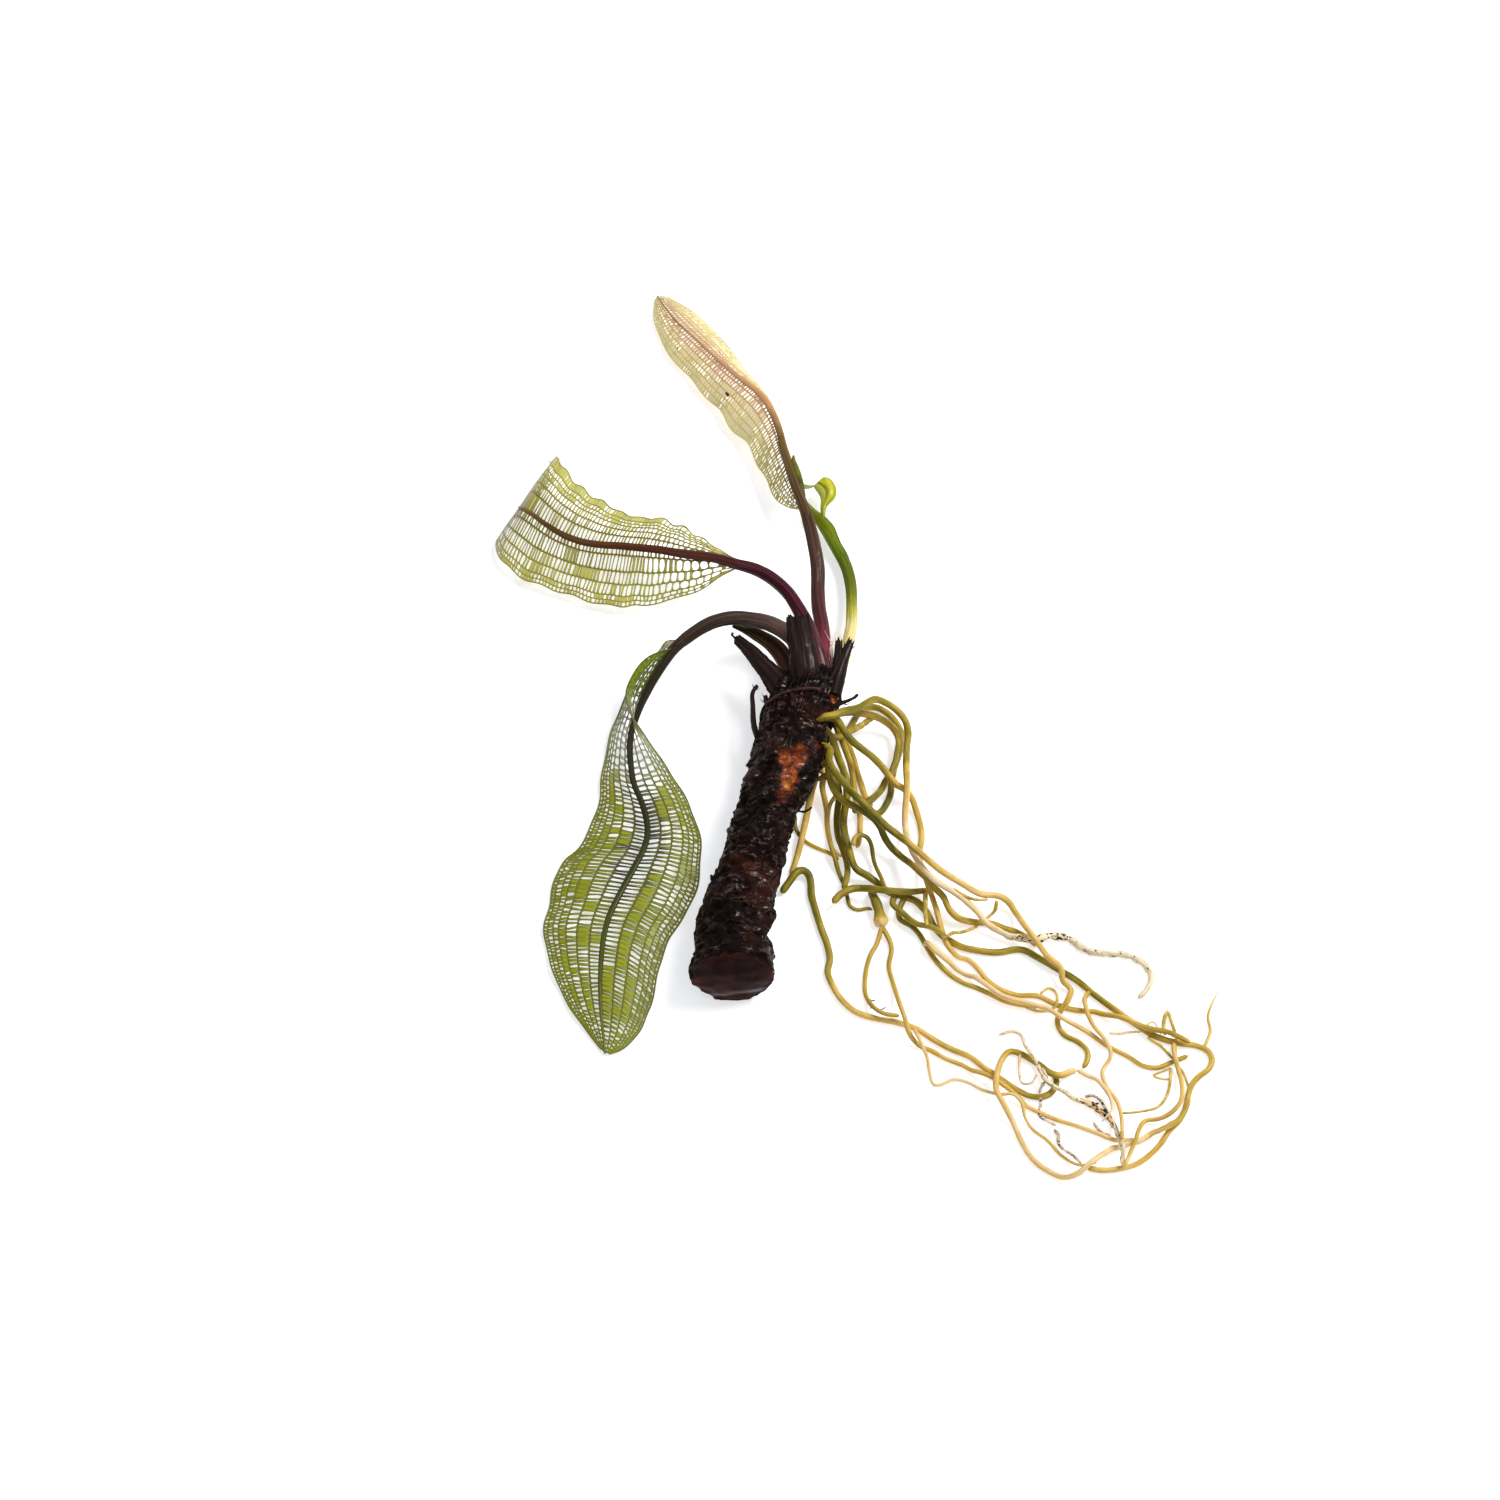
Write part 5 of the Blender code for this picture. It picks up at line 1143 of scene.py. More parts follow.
def buildHood():
    rows = evenly(smooth(np.array(youngLeaf["hood"]), 0.3), 0.25)
    angle = turns(56)
    along, up = np.cos(angle), np.sin(angle)
    grid, creaseShade, flankLight = [], [], []
    for leftX, leftY, rightX, rightY, height, tall, creaseAt, depth in rows:
        left, right = seen([(leftX, leftY, height), (rightX, rightY, height)], stalkPlane)
        line = (left + right) / 2 + (right - left) / 2 * along[:, None]
        groove = np.exp(-((along - creaseAt) / 0.13) ** 2) * np.clip(up * 3, 0, 1)
        folds = 0.05 * np.array([grain(a * 4, leftY / 2.2, 3) for a in along])
        flank = ease((creaseAt - along) / 0.2)
        line[:, 2] += tall * up * (1 - 0.25 * flank) - groove * depth + folds
        grid.append(line)
        # painted shade for the crease colour, stronger where the crease is deep
        creaseShade.append(groove * min(1, depth * 3))
        # painted light on the flank beside the crease
        flankLight.append(flank * min(1, depth * 3))
    grid = np.array(grid)
    down = np.broadcast_to(np.linspace(0, 1, len(grid))[:, None], grid.shape[:2])
    places = np.stack([np.broadcast_to(along, down.shape), np.broadcast_to(up, down.shape), down * 11], -1)
    mesh = skin("young_leaf_hood", grid, {"share": down, "skin": places, "crease": np.array(creaseShade),
                                          "flank": np.array(flankLight, float)})
    finish = stalkFinish("young_leaf_hood", youngLeaf["hoodHue"], shade(206, 206, 70), 0.35, 0.32)
    piece("young_leaf_hood", mesh, finish, "leaf_young")


buildRoll()
buildHood()
print("young leaf")


# roots
rootLaying = {"slope": 0.45, "drop": 0.6, "gap": 0.3, "tolerance": 0.2, "sides": 12, "step": 0.5, "girth": 0.82}
# the girth along some roots, as shares of the solid's
rootGirths = {
    "root_12_hooked_left": (0.82, 0.8, 0.73, 0.7, 0.72, 0.78),
    "root_14_long_diagonal": (0.82, 0.78, 0.7, 0.74, 0.8, 0.82),
    "root_16_outer_loop": (0.82, 0.82, 0.82, 0.82, 0.82, 0.8, 0.78, 0.82, 0.94, 0.96, 0.94, 0.8),
    "root_18_thin_left_run": (0.95, 1.1, 1.1, 1.1),
    "root_24_end_loop": (0.8, 0.74, 0.72, 0.76, 0.74, 0.76),
    "root_25_rotted_white": (0.42, 0.45, 0.5, 0.5, 0.55, 0.7, 0.95, 1.0, 0.8, 0.75, 0.65),
}
# which root springs from which
rootJoins = {
    "root_18_thin_left_run": "root_07_knotted", "root_19_straight_gold": "root_07_knotted",
    "root_21_side_run": "root_09_main_olive", "root_22_short_side_run": "root_09_main_olive",
    "root_23_peach_run": "root_21_side_run",
    "root_26_down_run": "root_09_main_olive", "root_27_peach_branch": "root_24_end_loop",
    "root_28_right_run": "root_09_main_olive", "root_29_thin_tip": "root_09_main_olive",
}
# name, first and last radius, start height, slot, from the rhizome, ages along it, how rotten, route
roots = [
    ("root_01_thin_left", 0.6, 0.5, 3.0, "root_olive", True, (.1, .15, .35, .4), (0,), [
        (2.6, 10.8), (5.0, 9.6), (5.1, 7.2), (6.0, 4.8), (7.6, 3.0), (10.0, 1.6), (12.4, 0.4),
        (14.2, -1.0)]),
    ("root_02_pale_left", 0.95, 0.8, 5.0, "root_gold", True, (.55, .5, .45, .4, .4), (0,), [
        (5.0, 21.0), (9.3, 19.3), (8.7, 15.6), (8.1, 12.2), (7.4, 8.4), (6.6, 4.6), (5.9, 1.2),
        (5.1, -1.9), (4.3, -4.6)]),
    ("root_03_inner_strand", 0.85, 0.45, 4.0, "root_gold", True, (.5, .5, .45, .4, .2, .15, .1, .3), (0,), [
        (7.5, 20.5), (11.2, 20.0), (10.8, 16.6), (11.3, 13.6), (11.8, 10.6), (11.8, 7.2), (12.2, 4.2),
        (12.7, 1.8), (13.4, -0.8), (13.9, -3.2), (14.6, -5.4), (15.4, -7.4), (15.8, -9.6), (16.4, -12.0),
        (18.0, -12.8), (20.0, -12.4), (21.0, -12.7)]),
    ("root_04_short_run", 0.9, 0.8, 3.0, "root_gold", True, (.25, .3, .3, .4, .5), (0,), [
        (11.5, 28.8), (15.6, 27.6), (17.2, 24.0), (18.1, 20.4), (19.0, 16.8), (20.0, 13.6), (21.2, 11.4)]),
    ("root_05_pale_run", 0.9, 0.75, 3.4, "root_gold", True, (.25, .25, .3, .3, .5, .5), (0,), [
        (10.0, 32.5), (13.2, 31.8), (14.6, 28.8), (15.8, 25.2), (16.8, 21.6), (17.3, 18.2), (17.5, 15.2),
        (18.2, 12.0), (18.7, 9.0), (18.7, 6.2), (18.4, 3.8), (17.9, 1.8)]),
    ("root_06_dark_olive", 0.9, 0.8, 5.0, "root_olive", True, (.15, .1, .1, .18, .2), (0,), [
        (9.5, 19.4), (13.4, 18.2), (14.3, 15.0), (14.0, 11.2), (13.8, 7.4), (14.1, 4.2), (14.9, 1.6),
        (15.8, -1.4), (15.9, -4.2), (15.4, -6.4), (15.0, -8.0)]),
    ("root_07_knotted", 0.9, 1.75, 1.6, "root_olive", False, (.08, .05, .08, .3, .8), (0, 0, .2, .5, .5), [
        (20.4, -7.9), (21.2, -9.6), (21.9, -11.6), (22.4, -13.8), (22.8, -16.4)]),
    ("root_08_second_loop", 0.9, 0.85, 5.4, "root_olive", True, (.25, .3, .15, .15, .22, .28, .1, .05, .05), (0,), [
        (11.0, 28.5), (15.4, 28.8), (16.8, 30.8), (18.2, 33.4), (19.8, 35.3), (22.0, 35.7), (24.6, 34.3),
        (26.4, 32.1), (27.6, 29.4), (27.6, 26.4), (26.8, 23.4), (25.9, 20.5), (25.3, 17.4), (25.1, 14.6),
        (24.2, 12.3), (22.9, 10.7), (21.6, 10.3), (20.2, 10.6)]),
    ("root_09_main_olive", 1.0, 0.7, 6.0, "root_olive", True,
     (.25, .25, .12, .15, .1, .12, .15, .22, .25, .15, .15, .25, .3, .4, .35, .3, .4, .5, .45), (0,), [
        (8.0, 31.5), (10.7, 30.8), (12.3, 29.0), (13.4, 26.4), (14.2, 23.6), (15.2, 20.4), (15.8, 17.4),
        (15.9, 14.6), (15.6, 12.0), (15.2, 9.0), (15.3, 5.6), (16.0, 2.4), (16.7, -0.6), (17.6, -3.0),
        (20.0, -4.7), (22.2, -6.5), (24.3, -8.5), (27.0, -9.4), (30.0, -10.7), (32.0, -13.2), (33.5, -16.5),
        (35.5, -19.0), (38.5, -21.0), (42.0, -22.0), (46.0, -22.5), (51.5, -21.9), (54.5, -23.6),
        (58.0, -26.0), (62.0, -28.7), (66.0, -32.4), (70.0, -35.8), (74.0, -39.0), (78.0, -41.7),
        (82.0, -43.0), (86.0, -43.7), (88.2, -45.0), (88.8, -47.0), (88.0, -48.8), (86.2, -50.2),
        (84.6, -52.0), (83.6, -54.5), (83.0, -57.0), (81.6, -60.0), (79.5, -62.3), (77.5, -65.3),
        (75.0, -67.9), (72.0, -69.9), (69.0, -70.7), (65.5, -71.0), (62.5, -70.5)]),
    ("root_10_hook", 0.6, 0.5, 0.9, "root_olive", False, (.35, .08, .1, .25), (0,), [
        (17.1, 2.4), (17.2, 3.9), (18.4, 5.0), (20.0, 4.4), (20.8, 2.8), (21.1, 0.6), (21.4, -1.4),
        (22.0, -3.4), (22.8, -5.2), (23.4, -7.0), (23.8, -8.2)]),
    ("root_11_cross_run", 1.0, 0.8, 1.6, "root_olive", False, (.3, .1, .15, .15, .2), (0,), [
        (12.7, -10.9), (14.4, -8.8), (16.4, -7.7), (20.0, -7.6), (24.5, -8.1), (29.0, -8.4), (32.4, -8.1)]),
    ("root_12_hooked_left", 1.0, 0.82, 1.0, "root_gold", False,
     (.12, .1, .12, .18, .25, .45, .52, .5, .4, .42, .35, .25, .15), (0,), [
        (2.2, -8.8), (4.0, -5.9), (5.2, -4.0), (6.5, -3.3), (7.7, -4.1), (8.3, -6.2), (8.4, -9.0),
        (9.2, -12.6), (10.4, -17.0), (11.7, -21.2), (12.1, -24.0), (11.6, -27.0), (12.6, -30.0),
        (14.6, -33.5), (17.0, -35.8), (21.0, -37.4), (25.5, -38.3), (29.5, -39.8), (33.0, -42.3),
        (36.5, -44.4), (40.0, -46.0), (43.0, -48.6), (46.0, -50.9), (49.0, -53.2), (52.5, -54.9),
        (55.3, -54.6), (57.0, -52.8), (57.2, -50.8), (56.6, -50.0)]),
    ("root_13_inner_loop", 1.0, 0.9, 9.6, "root_olive", True, (.25, .15, .3, .35, .2, .15, .1, .05), (0,), [
        (9.0, 32.5), (12.0, 32.9), (14.5, 34.0), (17.0, 34.4), (19.5, 34.0), (22.0, 33.3), (24.3, 32.0),
        (26.2, 30.0), (27.0, 27.5), (26.7, 24.4), (25.9, 21.3), (24.5, 18.4), (22.6, 15.7), (20.9, 14.0),
        (19.7, 13.2), (18.0, 12.0), (17.0, 11.4)]),
    ("root_14_long_diagonal", 1.0, 0.65, 7.2, "root_gold", True,
     (.15, .12, .25, .4, .35, .35, .35, .5, .5, .45, .35, .4, .3, .3), (0,), [
        (10.5, 33.5), (13.8, 32.6), (15.2, 30.2), (16.6, 28.0), (18.6, 26.0), (21.0, 23.9), (23.0, 21.6),
        (24.6, 19.2), (26.2, 17.0), (28.2, 15.6), (29.4, 13.8), (30.4, 10.6), (31.2, 7.0), (31.4, 4.0),
        (31.0, 1.6), (31.0, -1.4), (31.8, -5.0), (32.9, -8.6), (34.0, -12.5), (34.8, -16.4), (36.0, -20.5),
        (38.0, -23.0), (40.5, -24.3), (42.5, -26.5), (44.0, -28.8), (46.3, -30.7), (50.0, -32.2),
        (54.3, -32.4), (57.5, -34.2), (62.0, -35.7), (67.0, -36.1), (71.0, -37.2), (73.5, -38.4),
        (76.0, -39.5), (80.0, -40.5), (82.6, -41.7), (84.4, -42.8)]),
    ("root_15_second_green", 0.95, 0.8, 7.0, "root_olive", True,
     (.22, .25, .2, .05, .08, .15, .3, .25, .3, .25, .3, .35), (0,), [
        (8.5, 22.4), (11.8, 21.8), (12.2, 19.4), (12.7, 17.0), (13.7, 14.8), (15.4, 13.0), (17.6, 11.6),
        (19.6, 10.4), (21.4, 8.8), (22.7, 6.8), (23.5, 4.6), (24.8, 2.2), (26.8, 0.0), (29.3, -2.2),
        (31.6, -4.8), (33.5, -7.3), (35.4, -9.5), (36.5, -12.3), (38.5, -14.6), (41.5, -15.5),
        (45.0, -15.8), (48.0, -17.0), (51.0, -18.2), (53.0, -19.4), (54.6, -21.0)]),
    ("root_16_outer_loop", 0.95, 0.7, 12.0, "root_gold", True,
     (.25, .12, .2, .2, .3, .6, .75, .8, .78, .75, .9, 1, 1, 1, 1),
     (0, 0, 0, 0, 0, 0, 0, 0, 0, .2, 1.1, 1.2, 1.1, .9, .5), [
        (9.5, 32.8), (13.0, 33.6), (16.0, 34.8), (18.4, 35.4), (20.2, 36.6), (21.9, 37.5), (24.2, 36.6),
        (26.6, 34.7), (28.4, 32.0), (28.9, 29.0), (28.6, 26.0), (28.4, 22.6), (28.4, 18.0), (28.2, 13.2),
        (27.9, 8.6), (28.2, 5.0), (29.0, 1.6), (30.2, -1.2), (31.8, -3.6), (34.0, -5.8), (37.0, -8.0),
        (40.0, -10.5), (42.3, -13.0), (44.0, -15.5), (47.0, -17.5), (50.0, -18.8), (53.0, -19.6),
        (57.0, -18.7), (61.0, -19.4), (65.0, -22.3), (69.0, -22.8), (73.5, -23.4), (76.8, -26.0),
        (77.5, -28.3), (76.2, -31.2), (74.6, -33.0)]),
    ("root_17_green_diagonal", 1.0, 0.7, 9.0, "root_olive", True,
     (.2, .18, .1, .05, .18, .4, .5, .52, .42, .5, .5, .45, .35, .3, .25), (0,), [
        (8.5, 27.0), (12.4, 25.6), (12.1, 23.0), (13.0, 20.6), (14.6, 18.2), (16.4, 15.7), (18.5, 13.3),
        (21.2, 10.2), (24.0, 7.0), (28.0, 3.4), (31.0, 0.3), (34.2, -3.5), (39.0, -7.0), (43.0, -9.6),
        (47.0, -10.2), (49.5, -12.3), (51.8, -16.0), (54.0, -19.5), (56.3, -23.2), (59.0, -26.0),
        (59.3, -29.0), (61.0, -30.9), (60.0, -33.5), (58.3, -36.3), (58.0, -39.0), (59.3, -41.3),
        (62.0, -42.8), (63.8, -45.0), (63.6, -47.2), (62.7, -48.6)]),
    ("root_18_thin_left_run", 0.5, 0.4, 0.6, "root_gold", False, (.3, .35, .35, .25, .35), (0,), [
        (21.8, -18.9), (20.6, -21.8), (19.8, -25.0), (19.2, -29.0), (19.2, -32.0), (20.2, -34.4),
        (22.4, -36.2), (26.0, -36.9)]),
    ("root_19_straight_gold", 0.65, 0.55, 0.7, "root_gold", False, (.25, .35, .4, .45, .45, .4, .5, .6, .65), (0,), [
        (24.6, -18.9), (24.7, -22.0), (24.1, -25.5), (24.9, -29.5), (26.0, -33.8), (27.1, -37.5),
        (28.0, -41.0), (29.8, -43.5), (33.0, -45.0), (37.0, -46.5), (40.5, -48.5), (44.5, -50.6),
        (47.3, -52.8), (49.8, -55.0), (53.0, -58.0), (57.0, -60.0), (61.0, -61.4), (65.0, -63.0),
        (68.5, -64.5), (72.5, -64.4)]),
    ("root_20_wandering_pale", 0.45, 0.4, 0.6, "root_pale", False, (.5, .7, .75, .7, .55, .45, .5), (0,), [
        (28.8, -39.5), (30.2, -42.8), (31.5, -46.5), (32.0, -50.0), (32.8, -52.5), (34.5, -52.2),
        (36.5, -51.2), (39.5, -51.8), (42.5, -53.5), (45.5, -54.2), (48.3, -54.1), (50.0, -56.0),
        (50.7, -59.5), (52.3, -62.3), (55.0, -64.5), (57.5, -67.7), (61.0, -69.8), (64.5, -69.2)]),
    ("root_21_side_run", 0.75, 0.6, 1.0, "root_olive", False, (.15, .15, .25, .3, .45, .5), (0,), [
        (26.2, -13.3), (26.6, -15.0), (28.4, -16.0), (30.1, -17.8), (31.7, -20.8), (33.3, -23.8),
        (35.2, -26.3), (37.6, -28.5), (40.0, -29.9), (44.0, -30.9), (48.0, -32.9), (52.0, -34.0), (54.4, -34.9)]),
    ("root_22_short_side_run", 0.8, 0.7, 1.0, "root_olive", False, (.12, .15, .25, .3), (0,), [
        (24.8, -11.4), (26.7, -12.9), (28.5, -14.9), (30.2, -16.0), (32.2, -16.3), (35.8, -18.4)]),
    ("root_23_peach_run", 0.7, 0.6, 1.0, "root_pale", False, (.45, .7, .75, .65, .7, .6, .4, .3, .3), (0,), [
        (31.5, -18.0), (35.5, -22.0), (39.5, -26.3), (43.5, -29.6), (47.0, -32.3), (51.0, -33.6),
        (56.0, -35.3), (59.8, -37.8), (63.5, -40.2), (68.0, -43.8), (72.3, -46.3), (74.5, -48.0),
        (77.5, -48.6), (80.5, -47.4), (84.0, -45.9)]),
    ("root_24_end_loop", 0.9, 0.75, 1.0, "root_pale", False,
     (.7, .25, .2, .35, .5, .62, .66, .66, .6, .65, .7, .8, .6, .3, .35),
     (0, 0, 0, 0, 0, 0, 0, 0, 0, 0, 0, .3, .5, 0), [
        (61.4, -48.9), (60.0, -49.3), (58.0, -50.0), (56.0, -49.5), (54.0, -47.8), (52.0, -46.4),
        (50.0, -45.2), (48.0, -44.8), (46.6, -46.2), (45.6, -48.4), (45.0, -50.5), (45.0, -53.0),
        (46.5, -56.5), (48.5, -61.0), (50.0, -65.0), (52.0, -68.6), (55.0, -71.2), (58.0, -72.4),
        (60.5, -71.5), (63.0, -69.0), (66.5, -66.8), (70.0, -65.3), (73.5, -64.3), (76.0, -62.8),
        (79.0, -61.2), (81.0, -60.0), (82.5, -57.8), (83.5, -55.0)]),
    ("root_25_rotted_white", 0.8, 0.6, 0.8, "root_white", False, (.9, .95, .9, .85, 1, 1, .6, .8, .9, .85),
     (.8, .8, .9, 1, 1, 1, .8, 1.4, 1.5, 1.1, 1, .9), [
        (46.0, -41.0), (49.5, -40.3), (50.7, -41.3), (51.0, -43.0), (52.0, -44.8), (53.3, -47.0),
        (54.5, -50.0), (56.0, -51.0), (58.5, -52.5), (60.5, -54.3), (62.5, -55.3), (64.0, -56.5),
        (65.5, -57.8), (67.5, -59.7), (68.5, -61.5), (69.0, -63.5), (69.8, -66.5), (69.5, -69.7)]),
    ("root_26_down_run", 0.6, 0.5, 0.8, "root_pale", False, (.25, .5, .65, .7, .6, .65, .55, .4), (0,), [
        (63.6, -32.2), (63.7, -35.0), (65.3, -39.3), (67.8, -43.0), (68.4, -46.0), (66.6, -49.5),
        (67.3, -52.7), (69.3, -56.0), (69.8, -60.0), (69.4, -64.0)]),
    ("root_27_peach_branch", 0.6, 0.5, 0.8, "root_pale", False, (.65, .75, .75, .85, .95), (0, 0, 0, .3, .6), [
        (63.6, -49.4), (65.5, -51.3), (67.0, -53.3), (68.0, -55.5), (68.2, -57.3), (67.0, -59.0),
        (65.8, -60.5)]),
    ("root_28_right_run", 0.65, 0.5, 0.8, "root_pale", False, (.35, .55, .5, .4, .4, .5), (0,), [
        (81.0, -44.8), (81.6, -48.0), (82.2, -52.0), (81.5, -56.0), (79.5, -58.6), (76.5, -60.1),
        (74.6, -60.1), (73.2, -61.8), (72.2, -64.3), (70.9, -67.5), (69.8, -69.7)]),
    ("root_29_thin_tip", 0.45, 0.25, 0.6, "root_white", False, (.4, .45, .45, .6, .9), (0,), [
        (88.2, -42.2), (88.9, -40.4), (88.5, -37.5), (89.7, -33.8), (91.8, -30.3)]),
]


def rootHeights(plan, radius, startHeight, laid, gap):
    # down from the start to the surface, under the roots already laid where they arch over, else over them
    along = distanceAlong(plan)
    wanted = np.maximum(radius, startHeight - rootLaying["drop"] * along)
    slope = np.abs(along[:, None] - along[None, :]) * rootLaying["slope"]
    crossings = []
    for other, otherRadius in laid:
        apart = np.linalg.norm(plan[:, None] - other[None, :, :2], axis=2)
        reach = radius[:, None] + otherRadius[None, :] + gap
        rise = np.sqrt(np.maximum(reach**2 - apart**2, 0))
        crossings.append([rise, other[:, 2], (rise > 0) & (wanted[:, None] + rise <= other[:, 2])])
    while True:
        needed = wanted.copy()
        for rise, height, below in crossings:
            needed = np.maximum(needed, np.where((rise > 0) & ~below, height + rise, 0).max(axis=1))
        heights = (needed[None, :] - slope).max(axis=1)
        blocked = [c for c in crossings if (c[2] & (heights[:, None] + c[0] > c[1])).any()]
        if not blocked:
            return heights
        for crossing in blocked:
            crossing[2] = np.zeros_like(crossing[2])


def lieDown(route, first, last, startHeight, laid, gap=rootLaying["gap"] + rootLaying["tolerance"]):
    read = smooth([(x - middleX, y) for x, y in route])
    radius = np.linspace(first, last, len(read))
    heights = radius.copy()
    for _ in range(4):
        plan = np.column_stack([read[:, 0], read[:, 1] - (heights - rootPlane) * lookBack])
        heights = rootHeights(plan, radius, startHeight, laid, gap)
    return np.column_stack([plan, heights]), radius


def buildRoots():
    finish = rootFinish()
    laid, placed = [], {}
    sides = rootLaying["sides"]
    angle = turns(sides)
    for number, (name, first, last, startHeight, slot, fromRhizome, ages, rot, route) in enumerate(roots):
        rough, roughRadius = lieDown(route, first, last, startHeight, laid)
        laid.append((rough, roughRadius))
        placed[name] = rough
        if name in rootJoins:
            parent = placed[rootJoins[name]]
            nearest = parent[np.linalg.norm(parent - rough[0], axis=1).argmin()]
            rough = smooth(np.vstack([nearest, rough[1:-1:2], rough[-1:]]))
            roughRadius = np.linspace(first, last, len(rough))
        both = evenly(np.column_stack([rough, roughRadius]), rootLaying["step"])
        curve, radius = both[:, :3], both[:, 3]
        curve[1:-1] = (curve[:-2] + 2 * curve[1:-1] + curve[2:]) / 4
        girth = spread(rootGirths.get(name, (rootLaying["girth"],)), np.linspace(0, 1, len(curve)))
        curve[:, 2] -= (1 - girth) * radius
        radius = radius * girth
        along = distanceAlong(curve)
        shares = along / along[-1]
        rotten = spread(rot, shares)
        relief = np.ones((len(curve), sides))
        for i, place in enumerate(along):
            swell = 0.09 * grain(place / 3.5, number * 7, 0) + 0.05 * grain(place / 1.1, number * 7, 5)
            swell += 0.4 * min(rotten[i], 1) * grain(place / 2.2, number * 7, 9)
            for j in range(sides):
                c, s = math.cos(angle[j]), math.sin(angle[j])
                torn = rotten[i] * 0.5 * grain(c * 1.6, s * 1.6 + number, place / 1.1)
                relief[i, j] += swell + 0.05 * grain(c * 1.2, s * 1.2 + number, place / 2.5) + torn
        radius = radius * rounding(along, first, not fromRhizome)
        if fromRhizome:
            start = ease(along / 2.4)
            radius = radius * (0.6 + 0.4 * start)
            curve[:, 2] -= (1 - start) * min(1.6, startHeight / 3)
        if name in ("root_29_thin_tip", "root_27_peach_branch"):
            radius = radius * (1 - 0.6 * ease((shares - 0.6) / 0.4))
        mesh = tube(name + "_skin", curve, radius, radius, sides, relief, age=spread(ages, shares), rot=rotten)
        piece(name + "_skin", mesh, finish, slot, name)
    return laid


laidRoots = buildRoots()
print("roots")

# thin strands that lie on the surface or over the roots: name, radius, route
sideRoots = {
    "gold": [
        (0.42, [(79.7, -41.4), (79.4, -39.0), (80.3, -36.0), (81.2, -39.0), (82.0, -42.6)]),
        (0.36, [(50.5, -34.0), (53.5, -36.0), (57.0, -35.5), (58.2, -33.0), (57.8, -31.5),
                (56.5, -30.7), (54.7, -32.0)]),
        (0.34, [(80.4, -48.6), (80.2, -50.5), (79.8, -53.0), (78.8, -55.5), (77.5, -57.0),
                (73.5, -58.2), (70.0, -58.5)]),
        (0.26, [(80.4, -48.6), (78.5, -49.5), (76.8, -50.3), (79.0, -51.2), (80.0, -51.2)]),
        (0.34, [(76.0, -41.0), (79.0, -44.2), (81.0, -46.8), (83.0, -50.3), (83.8, -53.0)]),
        (0.4, [(46.3, -10.4), (46.0, -12.8), (43.5, -15.4)]), (0.4, [(36.0, -18.6), (38.5, -17.0), (42.5, -15.7)]),
        (0.4, [(37.0, -7.6), (42.0, -10.2), (44.5, -10.2)]), (0.45, [(12.2, 3.0), (14.8, 1.0)]),
        (0.5, [(13.8, 14.6), (12.4, 12.0), (12.0, 9.0)]), (0.55, [(31.9, -8.4), (31.6, -12.0), (31.9, -16.5)]),
    ],
    "cream": [
        (0.3, [(68.2, -40.9), (70.5, -41.0), (74.8, -39.9)]), (0.28, [(75.2, -39.6), (77.2, -38.3), (78.8, -41.2)]),
        (0.32, [(50.2, -45.4), (49.9, -48.5), (50.5, -52.0), (52.0, -51.8), (53.2, -49.6)]),
    ],
    "rotted": [
        (0.4, [(54.0, -48.2), (55.2, -50.9), (54.3, -52.4), (53.7, -54.2)]),
        (0.36, [(53.8, -55.0), (54.0, -57.0), (53.5, -58.4), (53.9, -59.5), (55.2, -60.5), (57.0, -61.4)]),
        (0.42, [(56.4, -62.2), (57.3, -63.4), (57.1, -64.9), (58.0, -66.4), (59.6, -67.5), (61.5, -69.4)]),
        (0.34, [(64.4, -60.6), (65.3, -62.3), (66.3, -63.0), (67.7, -63.6)]),
        (0.36, [(62.8, -55.0), (64.6, -54.8), (65.8, -55.7), (66.7, -57.3), (67.4, -59.0)]),
    ],
    "dark": [
        (0.14, [(19.4, -32.4), (20.4, -33.6), (21.4, -33.4)]), (0.13, [(21.2, -35.0), (22.2, -35.6), (23.4, -35.0)]),
        (0.16, [(19.6, -33.0), (20.3, -34.4), (20.2, -35.4)]),
        (0.34, [(64.0, -56.2), (65.2, -57.2), (65.0, -58.2)]), (0.3, [(62.8, -55.8), (63.9, -56.9), (65.6, -56.4)]),
    ],
}


# pale and deep colour, specks, and how much more of them there are
strandLooks = {
    "side_root_gold": ((222, 190, 112), (168, 146, 52), (90, 60, 20), -0.04),
    "side_root_cream": ((240, 224, 196), (222, 190, 140), (120, 84, 40), -0.04),
    "side_root_rotted": ((232, 222, 206), (176, 140, 96), (26, 18, 14), 0.06),
    "side_root_dark": ((44, 32, 22), (20, 14, 12), (96, 72, 44), -0.04),
    "torn_fibre": ((74, 44, 34), (40, 26, 22), (120, 84, 62), -0.02),
    "sheath": ((232, 208, 190), (212, 172, 156), (150, 84, 74), -0.03),
    "shred": ((226, 226, 214), (196, 196, 176), (128, 124, 92), -0.02),
    "olive_edge": ((104, 110, 34), (66, 68, 22), (140, 146, 70), -0.02),
}


